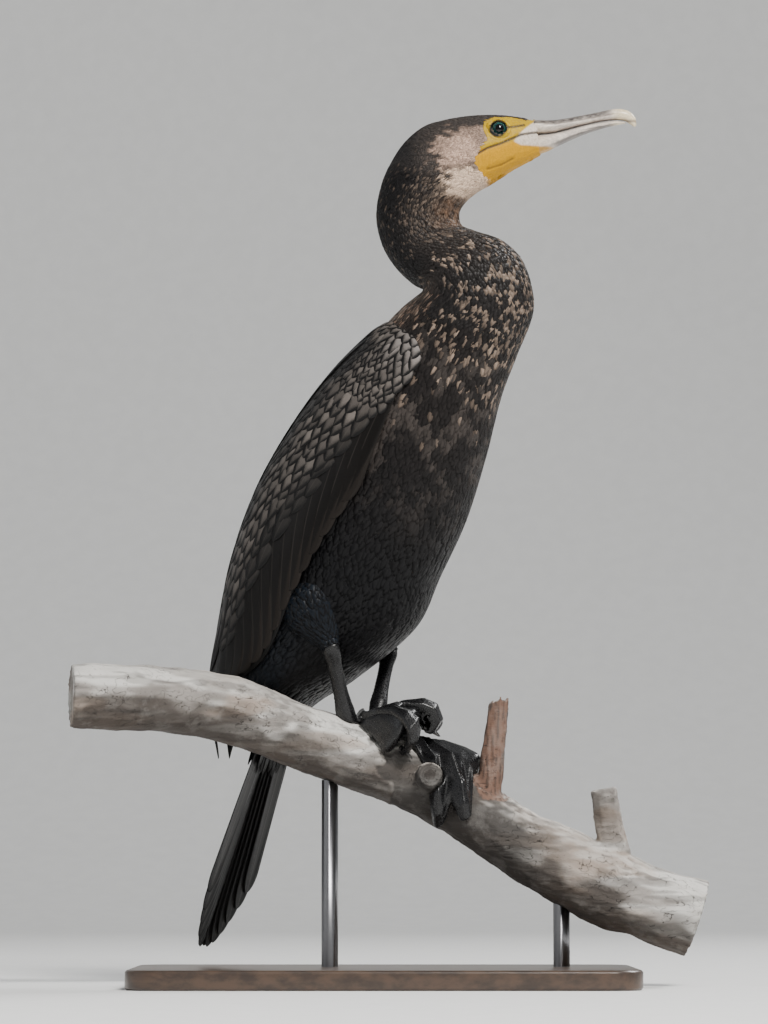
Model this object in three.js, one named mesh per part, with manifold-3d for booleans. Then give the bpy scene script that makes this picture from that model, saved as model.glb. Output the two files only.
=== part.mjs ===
// Great cormorant, life size, perched upright on a cut length of branch over a plain stand.
// Millimetres, +Z up, +X the way the body faces, +Y to the bird's left.
// The origin is the middle of the underside of the stand's base.
import * as THREE from 'three';
import Module from 'manifold-3d';

const wasm = await Module();
wasm.setup();

// Driving dimensions
const meetingGap = 0.3;          // between pieces that touch
const bodySides = 28;            // points round a section of the trunk
const headTurn = 24;             // degrees, the head looks to the bird's left of the body
const turnPivotX = 30;           // the neck turns about this upright line
const branchHeading = 30;        // degrees from +X to the run of the branch

const wingThickness = 10;
const wingCoreStart = 0;         // in sections of the wing's form
const wingCoreEnd = 7.6;
const vaneStand = 2.2;           // the core lies this far under the wing's outer form
const vaneThickness = 0.9;
const rootDepth = 2;             // how deep a feather's root is sunk

const tailLength = 187;
const tailHalfWidth = 31;
const tailFeathers = 14;
const tailTop = 4.4;             // the middle pair's height over the tail's middle sheet
const tailRootX = -84;
const tailRootZ = 200;
const tailLean = 20.6;           // degrees from plumb

const eyeRadius = 5.6;
const lidRadius = 5.6;
const lidThickness = 1.3;

const baseLength = 360;
const baseWidth = 210;
const baseHeight = 14;
const baseCorner = 24;
const rodRadius = 6;
const rodPlaces = [-39, 127];    // along the branch's run

// Small helpers for solids
const degrees = Math.PI / 180;

function solidOf(points, triangles) {
  const vertProperties = new Float32Array(points.length * 3);
  points.forEach((p, i) => vertProperties.set([p.x, p.y, p.z], i * 3));
  const triVerts = new Uint32Array(triangles.flat());
  return new wasm.Manifold(new wasm.Mesh({ numProp: 3, vertProperties, triVerts }));
}

function middleOf(ring) {
  const middle = new THREE.Vector3();
  ring.forEach((p) => middle.add(p));
  return middle.divideScalar(ring.length);
}

// A closed skin over a row of rings, each end closed by a fan to its middle or to a given tip.
function loft(rings, startTip, endTip) {
  const count = rings[0].length;
  const points = rings.flat();
  const triangles = [];
  for (let r = 0; r + 1 < rings.length; r += 1) {
    for (let i = 0; i < count; i += 1) {
      const next = (i + 1) % count;
      const a = r * count + i;
      const b = r * count + next;
      triangles.push([a, b, a + count], [b, b + count, a + count]);
    }
  }
  const start = points.push(startTip ?? middleOf(rings[0])) - 1;
  const end = points.push(endTip ?? middleOf(rings[rings.length - 1])) - 1;
  const last = (rings.length - 1) * count;
  for (let i = 0; i < count; i += 1) {
    const next = (i + 1) % count;
    triangles.push([next, i, start], [last + i, last + next, end]);
  }
  return facingOut(points, triangles);
}

// The same triangles, turned over if they enclose a negative volume.
function facingOut(points, triangles) {
  let volume = 0;
  const cross = new THREE.Vector3();
  for (const [a, b, c] of triangles) {
    volume += points[a].dot(cross.crossVectors(points[b], points[c]));
  }
  return solidOf(points, volume > 0 ? triangles : triangles.map(([a, b, c]) => [a, c, b]));
}

function solidOfGeometry(geometry) {
  const places = new Map();
  const points = [];
  const position = geometry.attributes.position;
  const order = geometry.index ? [...geometry.index.array] : [...Array(position.count).keys()];
  const merged = order.map((i) => {
    const p = new THREE.Vector3().fromBufferAttribute(position, i);
    const key = [p.x, p.y, p.z].map((n) => n.toFixed(4)).join();
    if (!places.has(key)) places.set(key, points.push(p) - 1);
    return places.get(key);
  });
  const triangles = [];
  for (let i = 0; i < merged.length; i += 3) {
    const [a, b, c] = merged.slice(i, i + 3);
    if (a !== b && b !== c && c !== a) triangles.push([a, b, c]);
  }
  return facingOut(points, triangles);
}

function largestPiece(solid) {
  return solid.decompose().reduce((a, b) => (a.volume() > b.volume() ? a : b));
}

function joined(solids) {
  return largestPiece(solids.reduce((all, next) => all.add(next)));
}

function cutBy(solid, tools) {
  return largestPiece(tools.reduce((left, tool) => left.subtract(tool), solid));
}

function meshOf(name, solid, material) {
  const { vertProperties, triVerts } = solid.getMesh();
  const geometry = new THREE.BufferGeometry();
  geometry.setAttribute('position', new THREE.BufferAttribute(new Float32Array(vertProperties), 3));
  geometry.setIndex(new THREE.BufferAttribute(new Uint32Array(triVerts), 1));
  geometry.computeVertexNormals();
  const mesh = new THREE.Mesh(geometry, material);
  mesh.name = name;
  return mesh;
}

function finish(color, roughness, metalness = 0) {
  return new THREE.MeshStandardMaterial({ color, roughness, metalness });
}

const plumage = finish(0x15151a, 0.55);
const neckPlumage = finish(0x241f1e, 0.7);
const headPlumage = finish(0x3b332f, 0.75);
const wingPlumage = finish(0x3f3a38, 0.5);
const tailPlumage = finish(0x18181b, 0.5);
const hornPale = finish(0xb9b1a8, 0.35);
const hornLower = finish(0xa79f97, 0.4);
const eyeGreen = finish(0x1d5a52, 0.05);
const footSkin = finish(0x141415, 0.35);
const clawHorn = finish(0x4a4641, 0.4);
const bareWood = finish(0xa8a29b, 0.85);
const standWood = finish(0x2b2622, 0.45);
const rodSteel = finish(0x9a9c9e, 0.35, 1);

// A form is a row of upright sections: the point on the back, the point on the front,
// the half width across, and how far the section is turned to the left.
function formOf(rows) {
  const backs = rows.map(([backX, backZ, , , half]) => new THREE.Vector3(backX, half, backZ));
  const fronts = rows.map(([, , x, z, , turn = 0]) => new THREE.Vector3(x, turn, z));
  const backCurve = new THREE.CatmullRomCurve3(backs, false, 'catmullrom', 0.5);
  const frontCurve = new THREE.CatmullRomCurve3(fronts, false, 'catmullrom', 0.5);
  const spans = rows.length - 1;
  return (place) => {
    const back = backCurve.getPoint(place / spans);
    const front = frontCurve.getPoint(place / spans);
    return { back, front, half: back.y, turn: front.y };
  };
}

function placed(x, across, z, turn) {
  const angle = turn * degrees;
  const reach = x - turnPivotX;
  return new THREE.Vector3(
    turnPivotX + reach * Math.cos(angle) - across * Math.sin(angle),
    reach * Math.sin(angle) + across * Math.cos(angle),
    z,
  );
}

// A point on a section at an angle from the back: 90 degrees is the flank, 180 the front.
function sectionPoint({ back, front, half, turn }, angle, lift = 0) {
  const depthX = (front.x - back.x) / 2;
  const depthZ = (front.z - back.z) / 2;
  const depth = Math.hypot(depthX, depthZ);
  const along = -Math.cos(angle) * (1 + lift / depth);
  const across = Math.sin(angle) * (half + lift);
  return placed(
    (back.x + front.x) / 2 + depthX * along,
    across,
    (back.z + front.z) / 2 + depthZ * along,
    turn,
  );
}

function sectionRing(section, count, lift = 0) {
  return Array.from({ length: count }, (_, i) => sectionPoint(section, (i / count) * 2 * Math.PI, lift));
}

function lengthOf(form, from, to, step, count, lift = 0) {
  const steps = Math.max(1, Math.round((to - from) / step));
  return Array.from({ length: steps + 1 }, (_, i) => (
    sectionRing(form(from + ((to - from) * i) / steps), count, lift)));
}

// The trunk, neck and head: back x, back z, front x, front z, half width, turn
const trunkRows = [
  [-105, 198, -65, 183, 20],
  [-119, 221, -42, 198, 36],
  [-122, 252, -13, 213, 47],
  [-110, 306, 19, 255, 55],
  [-89, 357, 39, 291, 58],
  [-60, 402, 60, 330, 57],
  [-29, 441, 77, 375, 51],
  [3, 471, 90, 417, 44],
  [22, 487, 104, 448, 40],
];
const neckRows = [
  [22, 487, 104, 448, 40],
  [36, 495.5, 118, 481, 36],
  [36.5, 498, 111.5, 513, 33.5],
  [32.6, 499.5, 96, 530, 32],
  [25, 504, 76, 538, 30, 2],
  [13.4, 515, 62.3, 543.7, 28.5, 5],
  [3.2, 531, 58.2, 550, 28, 9],
  [-1.5, 552, 59.2, 558, 28.5, 14],
  [1.8, 574, 66.3, 566, 28.5, 19],
  [9, 591, 74, 571.5, 28, 23],
  [17, 604, 79.5, 574, 27, headTurn],
];
const headRows = [
  [1.8, 574, 66.3, 566, 28.5, 19],
  [9, 591, 74, 571.5, 28, 23],
  [19, 606, 79, 574, 27, headTurn],
  [33, 617.5, 84, 577, 26, headTurn],
  [48, 622, 89, 580, 24.5, headTurn],
  [62, 624.3, 94, 583, 22.5, headTurn],
  [76, 625.2, 99, 586, 20, headTurn],
  [90, 624.8, 105, 589, 17.2, headTurn],
  [103, 623, 111, 592.3, 14.4, headTurn],
  [115, 621.4, 117, 595.4, 12, headTurn],
];
const trunkForm = formOf(trunkRows);
const neckForm = formOf(neckRows);
const headForm = formOf(headRows);

function trunkSolid(lift) {
  return loft(lengthOf(trunkForm, 0, trunkRows.length - 1, 0.5, bodySides, lift));
}

const trunk = trunkSolid(0);
const trunkGrown = trunkSolid(meetingGap);

const neckParting = 5;
const headParting = 1;
const neckLower = loft(lengthOf(neckForm, 0.012, neckParting - 0.02, 0.5, 24));
const neckUpper = loft(lengthOf(neckForm, neckParting + 0.02, 9 - 0.02, 0.5, 24));

function headSolid() {
  const skull = loft(lengthOf(headForm, headParting + 0.02, headRows.length - 1, 0.6, 22));
  return skull;
}

// The bill
const upperBillRows = [
  [115.5, 621.2, 116.4, 610.2, 10.5, headTurn],
  [128, 620.9, 128, 611.5, 8.8, headTurn],
  [146, 623.7, 146, 616, 6.8, headTurn],
  [160, 626.3, 160, 618.9, 5.6, headTurn],
  [171, 628.4, 171, 620, 5, headTurn],
  [180, 627, 177, 619.4, 4.2, headTurn],
  [185.6, 621.6, 180.4, 617.6, 2.8, headTurn],
  [186.2, 615.6, 184.4, 614.8, 0.8, headTurn],
];
const lowerBillRows = [
  [116.5, 609.8, 117.6, 595.8, 10, headTurn],
  [128, 611.1, 128, 601.2, 8.2, headTurn],
  [146, 615.6, 146, 609.2, 6.2, headTurn],
  [160, 618.5, 160, 613.6, 4.8, headTurn],
  [171, 619.6, 171, 616.2, 3.8, headTurn],
  [178.4, 618.6, 178.4, 617.4, 2, headTurn],
];
const upperBill = loft(lengthOf(formOf(upperBillRows), 0, upperBillRows.length - 1, 0.5, 14));
const lowerBill = loft(lengthOf(formOf(lowerBillRows), 0, lowerBillRows.length - 1, 0.5, 12));

// The eyes: a ball in a socket with a ring of lid round it
const eyeX = 88;
const eyeZ = 612.6;
const eyeInset = 3.6;            // the ball's middle lies this far inside the skin

function eyePlace(side) {
  const half = headForm(7).half * 0.94;
  return placed(eyeX, side * (half - eyeInset), eyeZ, headTurn);
}

function eyeBall(side, radius) {
  const ball = new THREE.IcosahedronGeometry(radius, 2);
  ball.translate(...eyePlace(side).toArray());
  return solidOfGeometry(ball);
}

function lidRing(side) {
  const ring = new THREE.TorusGeometry(lidRadius, lidThickness, 6, 16);
  ring.rotateX(90 * degrees);
  ring.rotateZ(headTurn * degrees);
  const outward = placed(turnPivotX, side, 0, headTurn).sub(placed(turnPivotX, 0, 0, headTurn));
  ring.translate(...eyePlace(side).addScaledVector(outward, 1.6).toArray());
  return solidOfGeometry(ring);
}

// The line of the closed mouth, from the gape to the bill: x, z, half width of the head there
const mouthLine = [
  [75, 594.3, 17.5],
  [90, 601.3, 19],
  [104, 608, 15.5],
  [118, 610.2, 12],
];
const mouthDepth = 2;
const mouthHeight = 0.8;

function mouthGroove(side) {
  const rings = mouthLine.map(([x, z, half]) => [
    [half - mouthDepth, -1], [half + 4, -1], [half + 4, 1], [half - mouthDepth, 1],
  ].map(([across, up]) => placed(x, side * across, z + (up * mouthHeight) / 2, headTurn)));
  return loft(rings);
}

function headWithLids() {
  const withLids = joined([headSolid(), lidRing(1), lidRing(-1)]);
  const sockets = [1, -1].map((side) => eyeBall(side, eyeRadius + meetingGap));
  return cutBy(withLids, [...sockets, mouthGroove(1), mouthGroove(-1)]);
}

// The folded wings lie on a form of their own, which runs past the trunk to their tips
const wingRows = [
  [16, 483, 100, 440, 42],
  [1, 473, 90, 417, 47],
  [-34, 444, 77, 375, 55.5],
  [-67, 406, 60, 330, 62],
  [-96, 362, 39, 291, 65],
  [-118, 311, 20, 255, 63],
  [-131, 261, -6, 213, 55],
  [-139, 226, -60, 197, 41],
  [-140, 198, -92, 180, 29],
  [-136, 170, -112, 163, 18],
];
const wingForm = formOf(wingRows);
const wingSpans = wingRows.length - 1;
// Where the wing's upper and lower edges lie on each section, in degrees from the back
const wingUpperEdges = [44, 28, 17, 10, 6, 4, 3, 3, 4, 10];
const wingLowerEdges = [92, 103, 104, 104, 103, 100, 94, 84, 72, 52];

function alongList(list, place) {
  const low = Math.min(Math.floor(place), list.length - 2);
  return THREE.MathUtils.lerp(list[low], list[low + 1], place - low);
}

// across runs from 0 at the upper edge to 1 at the lower edge
function wingPoint(place, across, lift = 0) {
  const upper = alongList(wingUpperEdges, place);
  const lower = alongList(wingLowerEdges, place);
  return sectionPoint(wingForm(place), THREE.MathUtils.lerp(upper, lower, across) * degrees, lift);
}

function wingCore() {
  const steps = 10;
  const acrossSteps = 4;
  const rings = Array.from({ length: steps + 1 }, (_, i) => {
    const place = wingCoreStart + ((wingCoreEnd - wingCoreStart) * i) / steps;
    const fade = Math.min(1, 0.3 + i / 3, 0.3 + (steps - i) / 5);
    const outer = [];
    const inner = [];
    for (let k = 0; k <= acrossSteps; k += 1) {
      const across = 0.02 + (0.96 * k) / acrossSteps;
      const round = 0.35 + 0.65 * Math.sqrt(Math.sin(Math.PI * (0.06 + 0.88 * (k / acrossSteps))));
      outer.push(wingPoint(place, across, -vaneStand - 2 * (1 - round) - 2 * (1 - fade)));
      inner.push(wingPoint(place, across, -vaneStand - 1 - wingThickness * fade * round));
    }
    return [...outer, ...inner.reverse()];
  });
  return loft(rings);
}

// Small even differences between like feathers, the same on every run
function drawOf(seed) {
  let state = seed;
  return () => {
    state = (state * 16807) % 2147483647;
    return state / 2147483647;
  };
}

// One vane laid on a guide surface that takes a place, a distance across in mm and a lift.
// It starts inside what it grows from and comes to a rounded or pointed end.
function vane({ guide, from, to, across, acrossEnd, width, rise, tip, slant, bedded, freeFrom }) {
  const shares = [0, 0.4, 0.8, 1];
  const widths = [0.75, 1, 0.9, tip];
  const upper = [];
  const lower = [];
  shares.forEach((share, i) => {
    const place = THREE.MathUtils.lerp(from, to, share);
    const middle = THREE.MathUtils.lerp(across, acrossEnd, share);
    const lift = THREE.MathUtils.lerp(-rootDepth, rise, Math.min(1, share * 2.2));
    const deep = share < freeFrom ? bedded : 0;
    const reach = (width / 2) * widths[i];
    for (const side of [-1, 1]) {
      const edgeLift = lift - side * slant * widths[i];
      upper.push(guide(place, middle + side * reach, edgeLift));
      lower.push(guide(place, middle + side * reach, edgeLift - vaneThickness - deep));
    }
  });
  return gridSolid(upper, lower, shares.length, 2);
}

// Millimetres across the wing, counted from its upper edge
function wingGuide(place, across, lift) {
  const clamped = Math.min(place, wingSpans);
  const arc = (alongList(wingLowerEdges, clamped) - alongList(wingUpperEdges, clamped)) * degrees;
  const span = arc * (wingForm(clamped).half + 4);
  return wingPoint(place, across / span, lift - vaneStand);
}

function spanAcross(place) {
  const arc = (alongList(wingLowerEdges, place) - alongList(wingUpperEdges, place)) * degrees;
  return arc * (wingForm(place).half + 4);
}

// Feather tiers of a folded wing: where each begins and ends along the wing, which share of
// the wing's width its row covers, how many vanes it has and how far they stand up
const wingTiers = [
  { name: 'primaries', count: 4, from: [5.6, 6.4], to: [8.98, 8.1], band: [0.36, 0.78], bandEnd: [0.3, 0.72],
    width: 19, rise: 0.4, tip: 0.24, slant: 0.5, freeFrom: 0.3 },
  { name: 'secondaries', count: 5, from: [3.2, 4.9], to: [5.9, 7.7], band: [0.97, 0.86], bandEnd: [0.98, 0.82],
    width: 22, rise: 0.9, tip: 0.45, slant: 0.5 },
  { name: 'greater coverts', count: 5, from: [4.4, 3.9], to: [6, 5.2], band: [0.34, 0.88], bandEnd: [0.34, 0.9],
    width: 25, rise: 1.7, tip: 0.45, slant: 0.4 },
  { name: 'median coverts', count: 4, from: [3.4, 3], to: [4.9, 4.2], band: [0.32, 0.9], bandEnd: [0.32, 0.9],
    width: 28, rise: 2.1, tip: 0.5, slant: 0.4 },
  { name: 'lesser coverts', count: 4, from: [2.2, 2], to: [3.9, 3.3], band: [0.3, 0.9], bandEnd: [0.3, 0.92],
    width: 27, rise: 2.4, tip: 0.5, slant: 0.4 },
  { name: 'shoulder coverts', count: 4, from: [0.2, 0.2], to: [2.5, 2.1], band: [0.2, 0.9], bandEnd: [0.26, 0.9],
    width: 28, rise: 2.5, tip: 0.55, slant: 0.4 },
  { name: 'tertials', count: 3, from: [5, 5.2], to: [8.3, 7], band: [0.1, 0.36], bandEnd: [0.14, 0.46],
    width: 19, rise: 1.3, tip: 0.3, slant: 0.5, freeFrom: 0.6 },
  { name: 'scapulars', count: 4, from: [1, 4.2], to: [3.1, 6.6], band: [0.13, 0.1], bandEnd: [0.1, 0.1],
    width: 24, rise: 2.6, tip: 0.35, slant: 0.3 },
];

function wingVanes(seed) {
  const draw = drawOf(seed);
  const vary = (amount) => (draw() - 0.5) * 2 * amount;
  return wingTiers.flatMap(({ count, from, to, band, bandEnd, width, rise, tip, slant, freeFrom }) => (
    Array.from({ length: count }, (_, i) => {
      const share = count > 1 ? i / (count - 1) : 0;
      const start = THREE.MathUtils.lerp(from[0], from[1], share) + vary(0.06);
      const end = THREE.MathUtils.lerp(to[0], to[1], share) + vary(0.07);
      return vane({
        guide: wingGuide,
        from: start,
        to: end,
        across: THREE.MathUtils.lerp(band[0], band[1], share) * spanAcross(start),
        acrossEnd: THREE.MathUtils.lerp(bandEnd[0], bandEnd[1], share) * spanAcross(end),
        width: width * (1 + vary(0.05)),
        rise: rise + 0.12 * (i % 2),
        tip,
        slant,
        bedded: 3,
        freeFrom: freeFrom ?? 2,
      });
    })));
}

function mirrored(solid) {
  return solid.mirror([0, 1, 0]);
}

// A tall slab that holds one side of the middle plane
function sideSlab() {
  const slab = new THREE.BoxGeometry(700, 300, 900);
  slab.translate(0, 150 + meetingGap / 2, 400);
  return solidOfGeometry(slab);
}

// The legs
const ankle = new THREE.Vector3(-20, 42, 242);
const heelRight = new THREE.Vector3(-22.7, -18, 200);
const heelLeft = new THREE.Vector3(-14.6, 18, 205);
const tarsusDepth = 11;
const tarsusWidth = 7.5;
const tarsusEnd = 0.78;          // share of the way from ankle to heel

function limb(stations, count) {
  const rings = stations.map(({ middle, axis, depth, width }) => {
    const across = new THREE.Vector3(0, 1, 0);
    const forward = new THREE.Vector3().crossVectors(across, axis).normalize();
    across.crossVectors(axis, forward).normalize();
    return Array.from({ length: count }, (_, i) => {
      const angle = (i / count) * 2 * Math.PI;
      return middle.clone()
        .addScaledVector(forward, (Math.cos(angle) * depth) / 2)
        .addScaledVector(across, (Math.sin(angle) * width) / 2);
    });
  });
  return loft(rings);
}

function thighSolid(side, lift = 0) {
  const knee = ankle.clone().setY(side * ankle.y);
  const top = new THREE.Vector3(-50, side * 34, 294);
  const axis = knee.clone().sub(top).normalize();
  const sizes = [
    [0, 34, 24], [0.15, 54, 38], [0.38, 60, 44], [0.6, 50, 38],
    [0.78, 32, 25], [0.92, 18, 14], [1, 13, 10],
  ];
  return limb(sizes.map(([share, depth, width]) => ({
    middle: top.clone().lerp(knee, share),
    axis,
    depth: depth + 2 * lift,
    width: width + 2 * lift,
  })), 18);
}

function tarsusSolid(side) {
  const knee = ankle.clone().setY(side * ankle.y);
  const heel = side > 0 ? heelLeft : heelRight;
  const axis = heel.clone().sub(knee).normalize();
  const sizes = [
    [0.01, 13, 10], [0.12, 13.5, 10], [0.28, 11.5, 8],
    [0.5, tarsusDepth, tarsusWidth], [tarsusEnd, 11.4, 9],
  ];
  return limb(sizes.map(([share, depth, width]) => ({
    middle: knee.clone().lerp(heel, share), axis, depth, width,
  })), 12);
}

// The branch: along its run, away to its far side, height, radius
const branchRows = [
  [-222, -30, 206, 22.5],
  [-190, -24, 206, 23.8],
  [-131, -12, 202, 23.8],
  [-95, -5, 192.5, 23.8],
  [-60, 2, 178.2, 23],
  [-10, 7, 160.5, 23.6],
  [35, 10, 141.5, 23.8],
  [69, 10, 121, 23.8],
  [100, 10, 100, 25],
  [126, 10, 87.5, 26.8],
  [155, 10, 73, 28.8],
  [184, 10, 61.5, 26.4],
  [224, 10, 48, 28.4],
];
const branchSpans = branchRows.length - 1;
const branchMiddle = new THREE.CatmullRomCurve3(
  branchRows.map(([run, away, z]) => branchPlace(run, away, z)), false, 'catmullrom', 0.5);
const branchRadii = branchRows.map((row) => row[3]);

function branchPlace(run, away, z) {
  const angle = branchHeading * degrees;
  return new THREE.Vector3(
    run * Math.cos(angle) - away * Math.sin(angle),
    run * Math.sin(angle) + away * Math.cos(angle),
    z,
  );
}

// How far the branch's skin lies from its middle line, at a place and an angle round it
function branchRadius(place, round) {
  const radius = alongList(branchRadii, place);
  const swell = 0.5 * Math.sin(place * 3.1 + round * 2) + 0.4 * Math.sin(place * 5.3 - round * 3);
  return radius + swell;
}

// round: 0 is the top, 90 degrees the near side
function branchPoint(place, round, lift = 0) {
  const at = Math.min(Math.max(place / branchSpans, 0), 1);
  const tangent = branchMiddle.getTangent(at);
  const near = branchPlace(0, -1, 0);
  near.addScaledVector(tangent, -near.dot(tangent)).normalize();
  const up = new THREE.Vector3().crossVectors(near, tangent).normalize();
  if (up.z < 0) up.negate();
  const reach = branchRadius(place, round) + lift;
  return branchMiddle.getPoint(at)
    .addScaledVector(up, Math.cos(round) * reach)
    .addScaledVector(near, Math.sin(round) * reach);
}

function branchTube(lift) {
  const sides = 16;
  const steps = 24;
  const rings = Array.from({ length: steps + 1 }, (_, i) => Array.from({ length: sides }, (_, k) => (
    branchPoint((branchSpans * i) / steps, (k / sides) * 2 * Math.PI, lift))));
  return loft(rings);
}

function stub(from, to, startRadius, endRadius, ragged) {
  const axis = to.clone().sub(from);
  const length = axis.length();
  axis.normalize();
  const side = new THREE.Vector3(0, 1, 0).cross(axis).normalize();
  const other = new THREE.Vector3().crossVectors(axis, side);
  const count = 12;
  const rings = [0, 0.35, 0.7, 1].map((share, r) => Array.from({ length: count }, (_, i) => {
    const angle = (i / count) * 2 * Math.PI;
    const radius = THREE.MathUtils.lerp(startRadius, endRadius, share) * (1 + 0.05 * Math.sin(3 * angle + r));
    const jag = share === 1 ? ragged * Math.sin(angle * 2 + 1) * Math.cos(angle * 3) : 0;
    return from.clone()
      .addScaledVector(axis, length * share + jag)
      .addScaledVector(side, Math.cos(angle) * radius)
      .addScaledVector(other, Math.sin(angle) * radius);
  }));
  return loft(rings);
}

function perchSolid(grow) {
  return joined([
    branchTube(grow),
    stub(branchPlace(71, 8, 112), branchPlace(83, 2, 203), 11.5 + grow, 7.6 + grow, 7),
    stub(branchPlace(169, 8, 70), branchPlace(157.5, 4, 141), 12.5 + grow, 9.4 + grow, 0.8),
    stub(branchPlace(30, 12, 143), branchPlace(33, -27, 150.5), 11.5 + grow, 9.6 + grow, 0.8),
  ]);
}
const perchGrown = perchSolid(meetingGap);

// The stand
function baseSolid() {
  const halfLength = baseLength / 2;
  const halfWidth = baseWidth / 2;
  const outline = new THREE.Shape();
  outline.moveTo(-halfLength + baseCorner, -halfWidth);
  outline.absarc(halfLength - baseCorner, -halfWidth + baseCorner, baseCorner, -90 * degrees, 0);
  outline.absarc(halfLength - baseCorner, halfWidth - baseCorner, baseCorner, 0, 90 * degrees);
  outline.absarc(-halfLength + baseCorner, halfWidth - baseCorner, baseCorner, 90 * degrees, 180 * degrees);
  outline.absarc(-halfLength + baseCorner, -halfWidth + baseCorner, baseCorner, 180 * degrees, 270 * degrees);
  const slab = new THREE.ExtrudeGeometry(outline, {
    depth: baseHeight - 3, curveSegments: 4, bevelThickness: 1.5, bevelSize: 1.5, bevelOffset: -1.5, bevelSegments: 1,
  });
  slab.translate(0, 0, 1.5);
  slab.rotateZ(branchHeading * degrees);
  return solidOfGeometry(slab);
}

function rodSolid(run) {
  const top = branchMiddle.getPoint(placeOfRun(run) / branchSpans);
  const bottom = baseHeight + meetingGap;
  const rod = new THREE.CylinderGeometry(rodRadius, rodRadius, top.z - bottom, 20);
  rod.rotateX(90 * degrees);
  rod.translate(top.x, top.y, (top.z + bottom) / 2);
  return cutBy(solidOfGeometry(rod), [perchGrown]);
}

// The tail: one smooth wedge, a little roofed
function tailFrame(share) {
  const lean = tailLean * degrees;
  return new THREE.Vector3(
    tailRootX - Math.sin(lean) * tailLength * share,
    0,
    tailRootZ - Math.cos(lean) * tailLength * share,
  );
}

function tailPoint(share, across, lift) {
  const lean = tailLean * degrees;
  const roof = -0.1 * Math.abs(across);
  return tailFrame(share).add(new THREE.Vector3(
    -Math.cos(lean) * (lift + roof), across, Math.sin(lean) * (lift + roof)));
}

function tailRoot() {
  const shares = [0.055, 0.12, 0.2, 0.3, 0.4];
  const widths = [19, 21, 22, 20, 14];
  const thicknesses = [30, 23, 15, 9, 5];
  const rings = shares.map((share, i) => {
    const outer = [];
    const inner = [];
    for (let k = -3; k <= 3; k += 1) {
      const across = (widths[i] * k) / 3;
      const edge = 0.35 + 0.65 * Math.sqrt(1 - (k / 3.4) ** 2);
      outer.push(tailPoint(share, across, (thicknesses[i] / 2) * edge));
      inner.push(tailPoint(share, across, (-thicknesses[i] / 2) * edge));
    }
    return [...outer, ...inner.reverse()];
  });
  return loft(rings);
}

// Fourteen stiff feathers: the middle pair is longest and lies on top
function tailSolid() {
  const draw = drawOf(11);
  const pairs = tailFeathers / 2;
  const feathers = [];
  for (let pair = 0; pair < pairs; pair += 1) {
    for (const side of [-1, 1]) {
      const share = pair / (pairs - 1);
      const reach = 1 - 0.3 * share ** 1.6 - 0.02 * draw();
      feathers.push(vane({
        guide: tailPoint,
        from: 0.13,
        to: reach,
        across: side * (1.5 + 12 * share),
        acrossEnd: side * (4 + (tailHalfWidth - 10) * share + draw()),
        width: 15,
        rise: tailTop - pair * 1.25 - (side > 0 ? 0.6 : 0),
        tip: 0.25,
        slant: 0,
        bedded: 0,
        freeFrom: 0,
      }));
    }
  }
  return joined([tailRoot(), ...feathers]);
}

// The feet: four toes in one web, arched over the branch, with a claw on each toe.
// Toe angles run from the branch's run towards its near side, reaches along its skin.
const toeThickness = 7.6;
const webThickness = 1.2;
const solesOff = 0.8;            // the soles lie this far off the round of the branch
const clawLength = 11;
const clawRadius = 2.3;
const feet = {
  right: {
    run: -28, heelAway: -3, heel: heelRight,
    toes: [
      { angle: -84, reach: 25, arch: 4, land: 0 },
      { angle: -19, reach: 41, arch: 24, land: 13 },
      { angle: -2, reach: 37, arch: 29, land: 12 },
      { angle: 25, reach: 31, arch: 30, land: 0 },
    ],
  },
  left: {
    run: -4, heelAway: 22, heel: heelLeft,
    toes: [
      { angle: 19, reach: 55, arch: 6, land: 0 },
      { angle: 41, reach: 84, arch: 5, land: 0 },
      { angle: 54, reach: 84, arch: 3, land: 0 },
      { angle: 84, reach: 20, arch: 2, land: 0 },
    ],
  },
};
// land is how high a toe ends, where it rests on the other foot.
// A toe's course as shares of its reach and of its arch
const toeCourse = new THREE.CatmullRomCurve3([
  [0.1, 0.12], [0.42, 0.6], [0.76, 0.96], [0.97, 0.98], [1.05, 0.5], [1, 0.04],
].map(([reach, rise]) => new THREE.Vector3(reach, rise, 0)));

function placeOfRun(run) {
  const heading = branchPlace(1, 0, 0);
  let place = 0;
  while (branchMiddle.getPoint(place / branchSpans).dot(heading) < run) place += 0.01;
  return place;
}

function footFrame({ run, heelAway }) {
  const place = placeOfRun(run);
  const radius = alongList(branchRadii, place);
  const middleAway = branchMiddle.getPoint(place / branchSpans).dot(branchPlace(0, 1, 0));
  const span = branchMiddle.getLength() / branchSpans;
  return (angle, reach, lift) => branchPoint(
    place + (Math.cos(angle * degrees) * reach) / span,
    Math.asin((middleAway - heelAway) / radius) + (Math.sin(angle * degrees) * reach) / radius,
    lift,
  );
}

function spokesOf(toes) {
  const spokes = [];
  toes.forEach((toe, t) => {
    const half = 190 / toe.reach;
    spokes.push({ ...toe, angle: toe.angle - half, thick: 0.55 });
    spokes.push({ ...toe, thick: 1 });
    spokes.push({ ...toe, angle: toe.angle + half, thick: 0.55 });
    const next = toes[t + 1];
    if (!next) return;
    const wide = Math.abs(next.angle - toe.angle) > 25;
    for (const share of wide ? [0.3, 0.5, 0.7] : [0.5]) {
      spokes.push({
        angle: THREE.MathUtils.lerp(toe.angle, next.angle, share),
        reach: THREE.MathUtils.lerp(toe.reach, next.reach, share) * (wide ? 0.55 : 0.85),
        arch: THREE.MathUtils.lerp(toe.arch, next.arch, share) * 0.9,
        land: THREE.MathUtils.lerp(toe.land, next.land, share),
        thick: 0,
      });
    }
  });
  return spokes;
}

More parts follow.
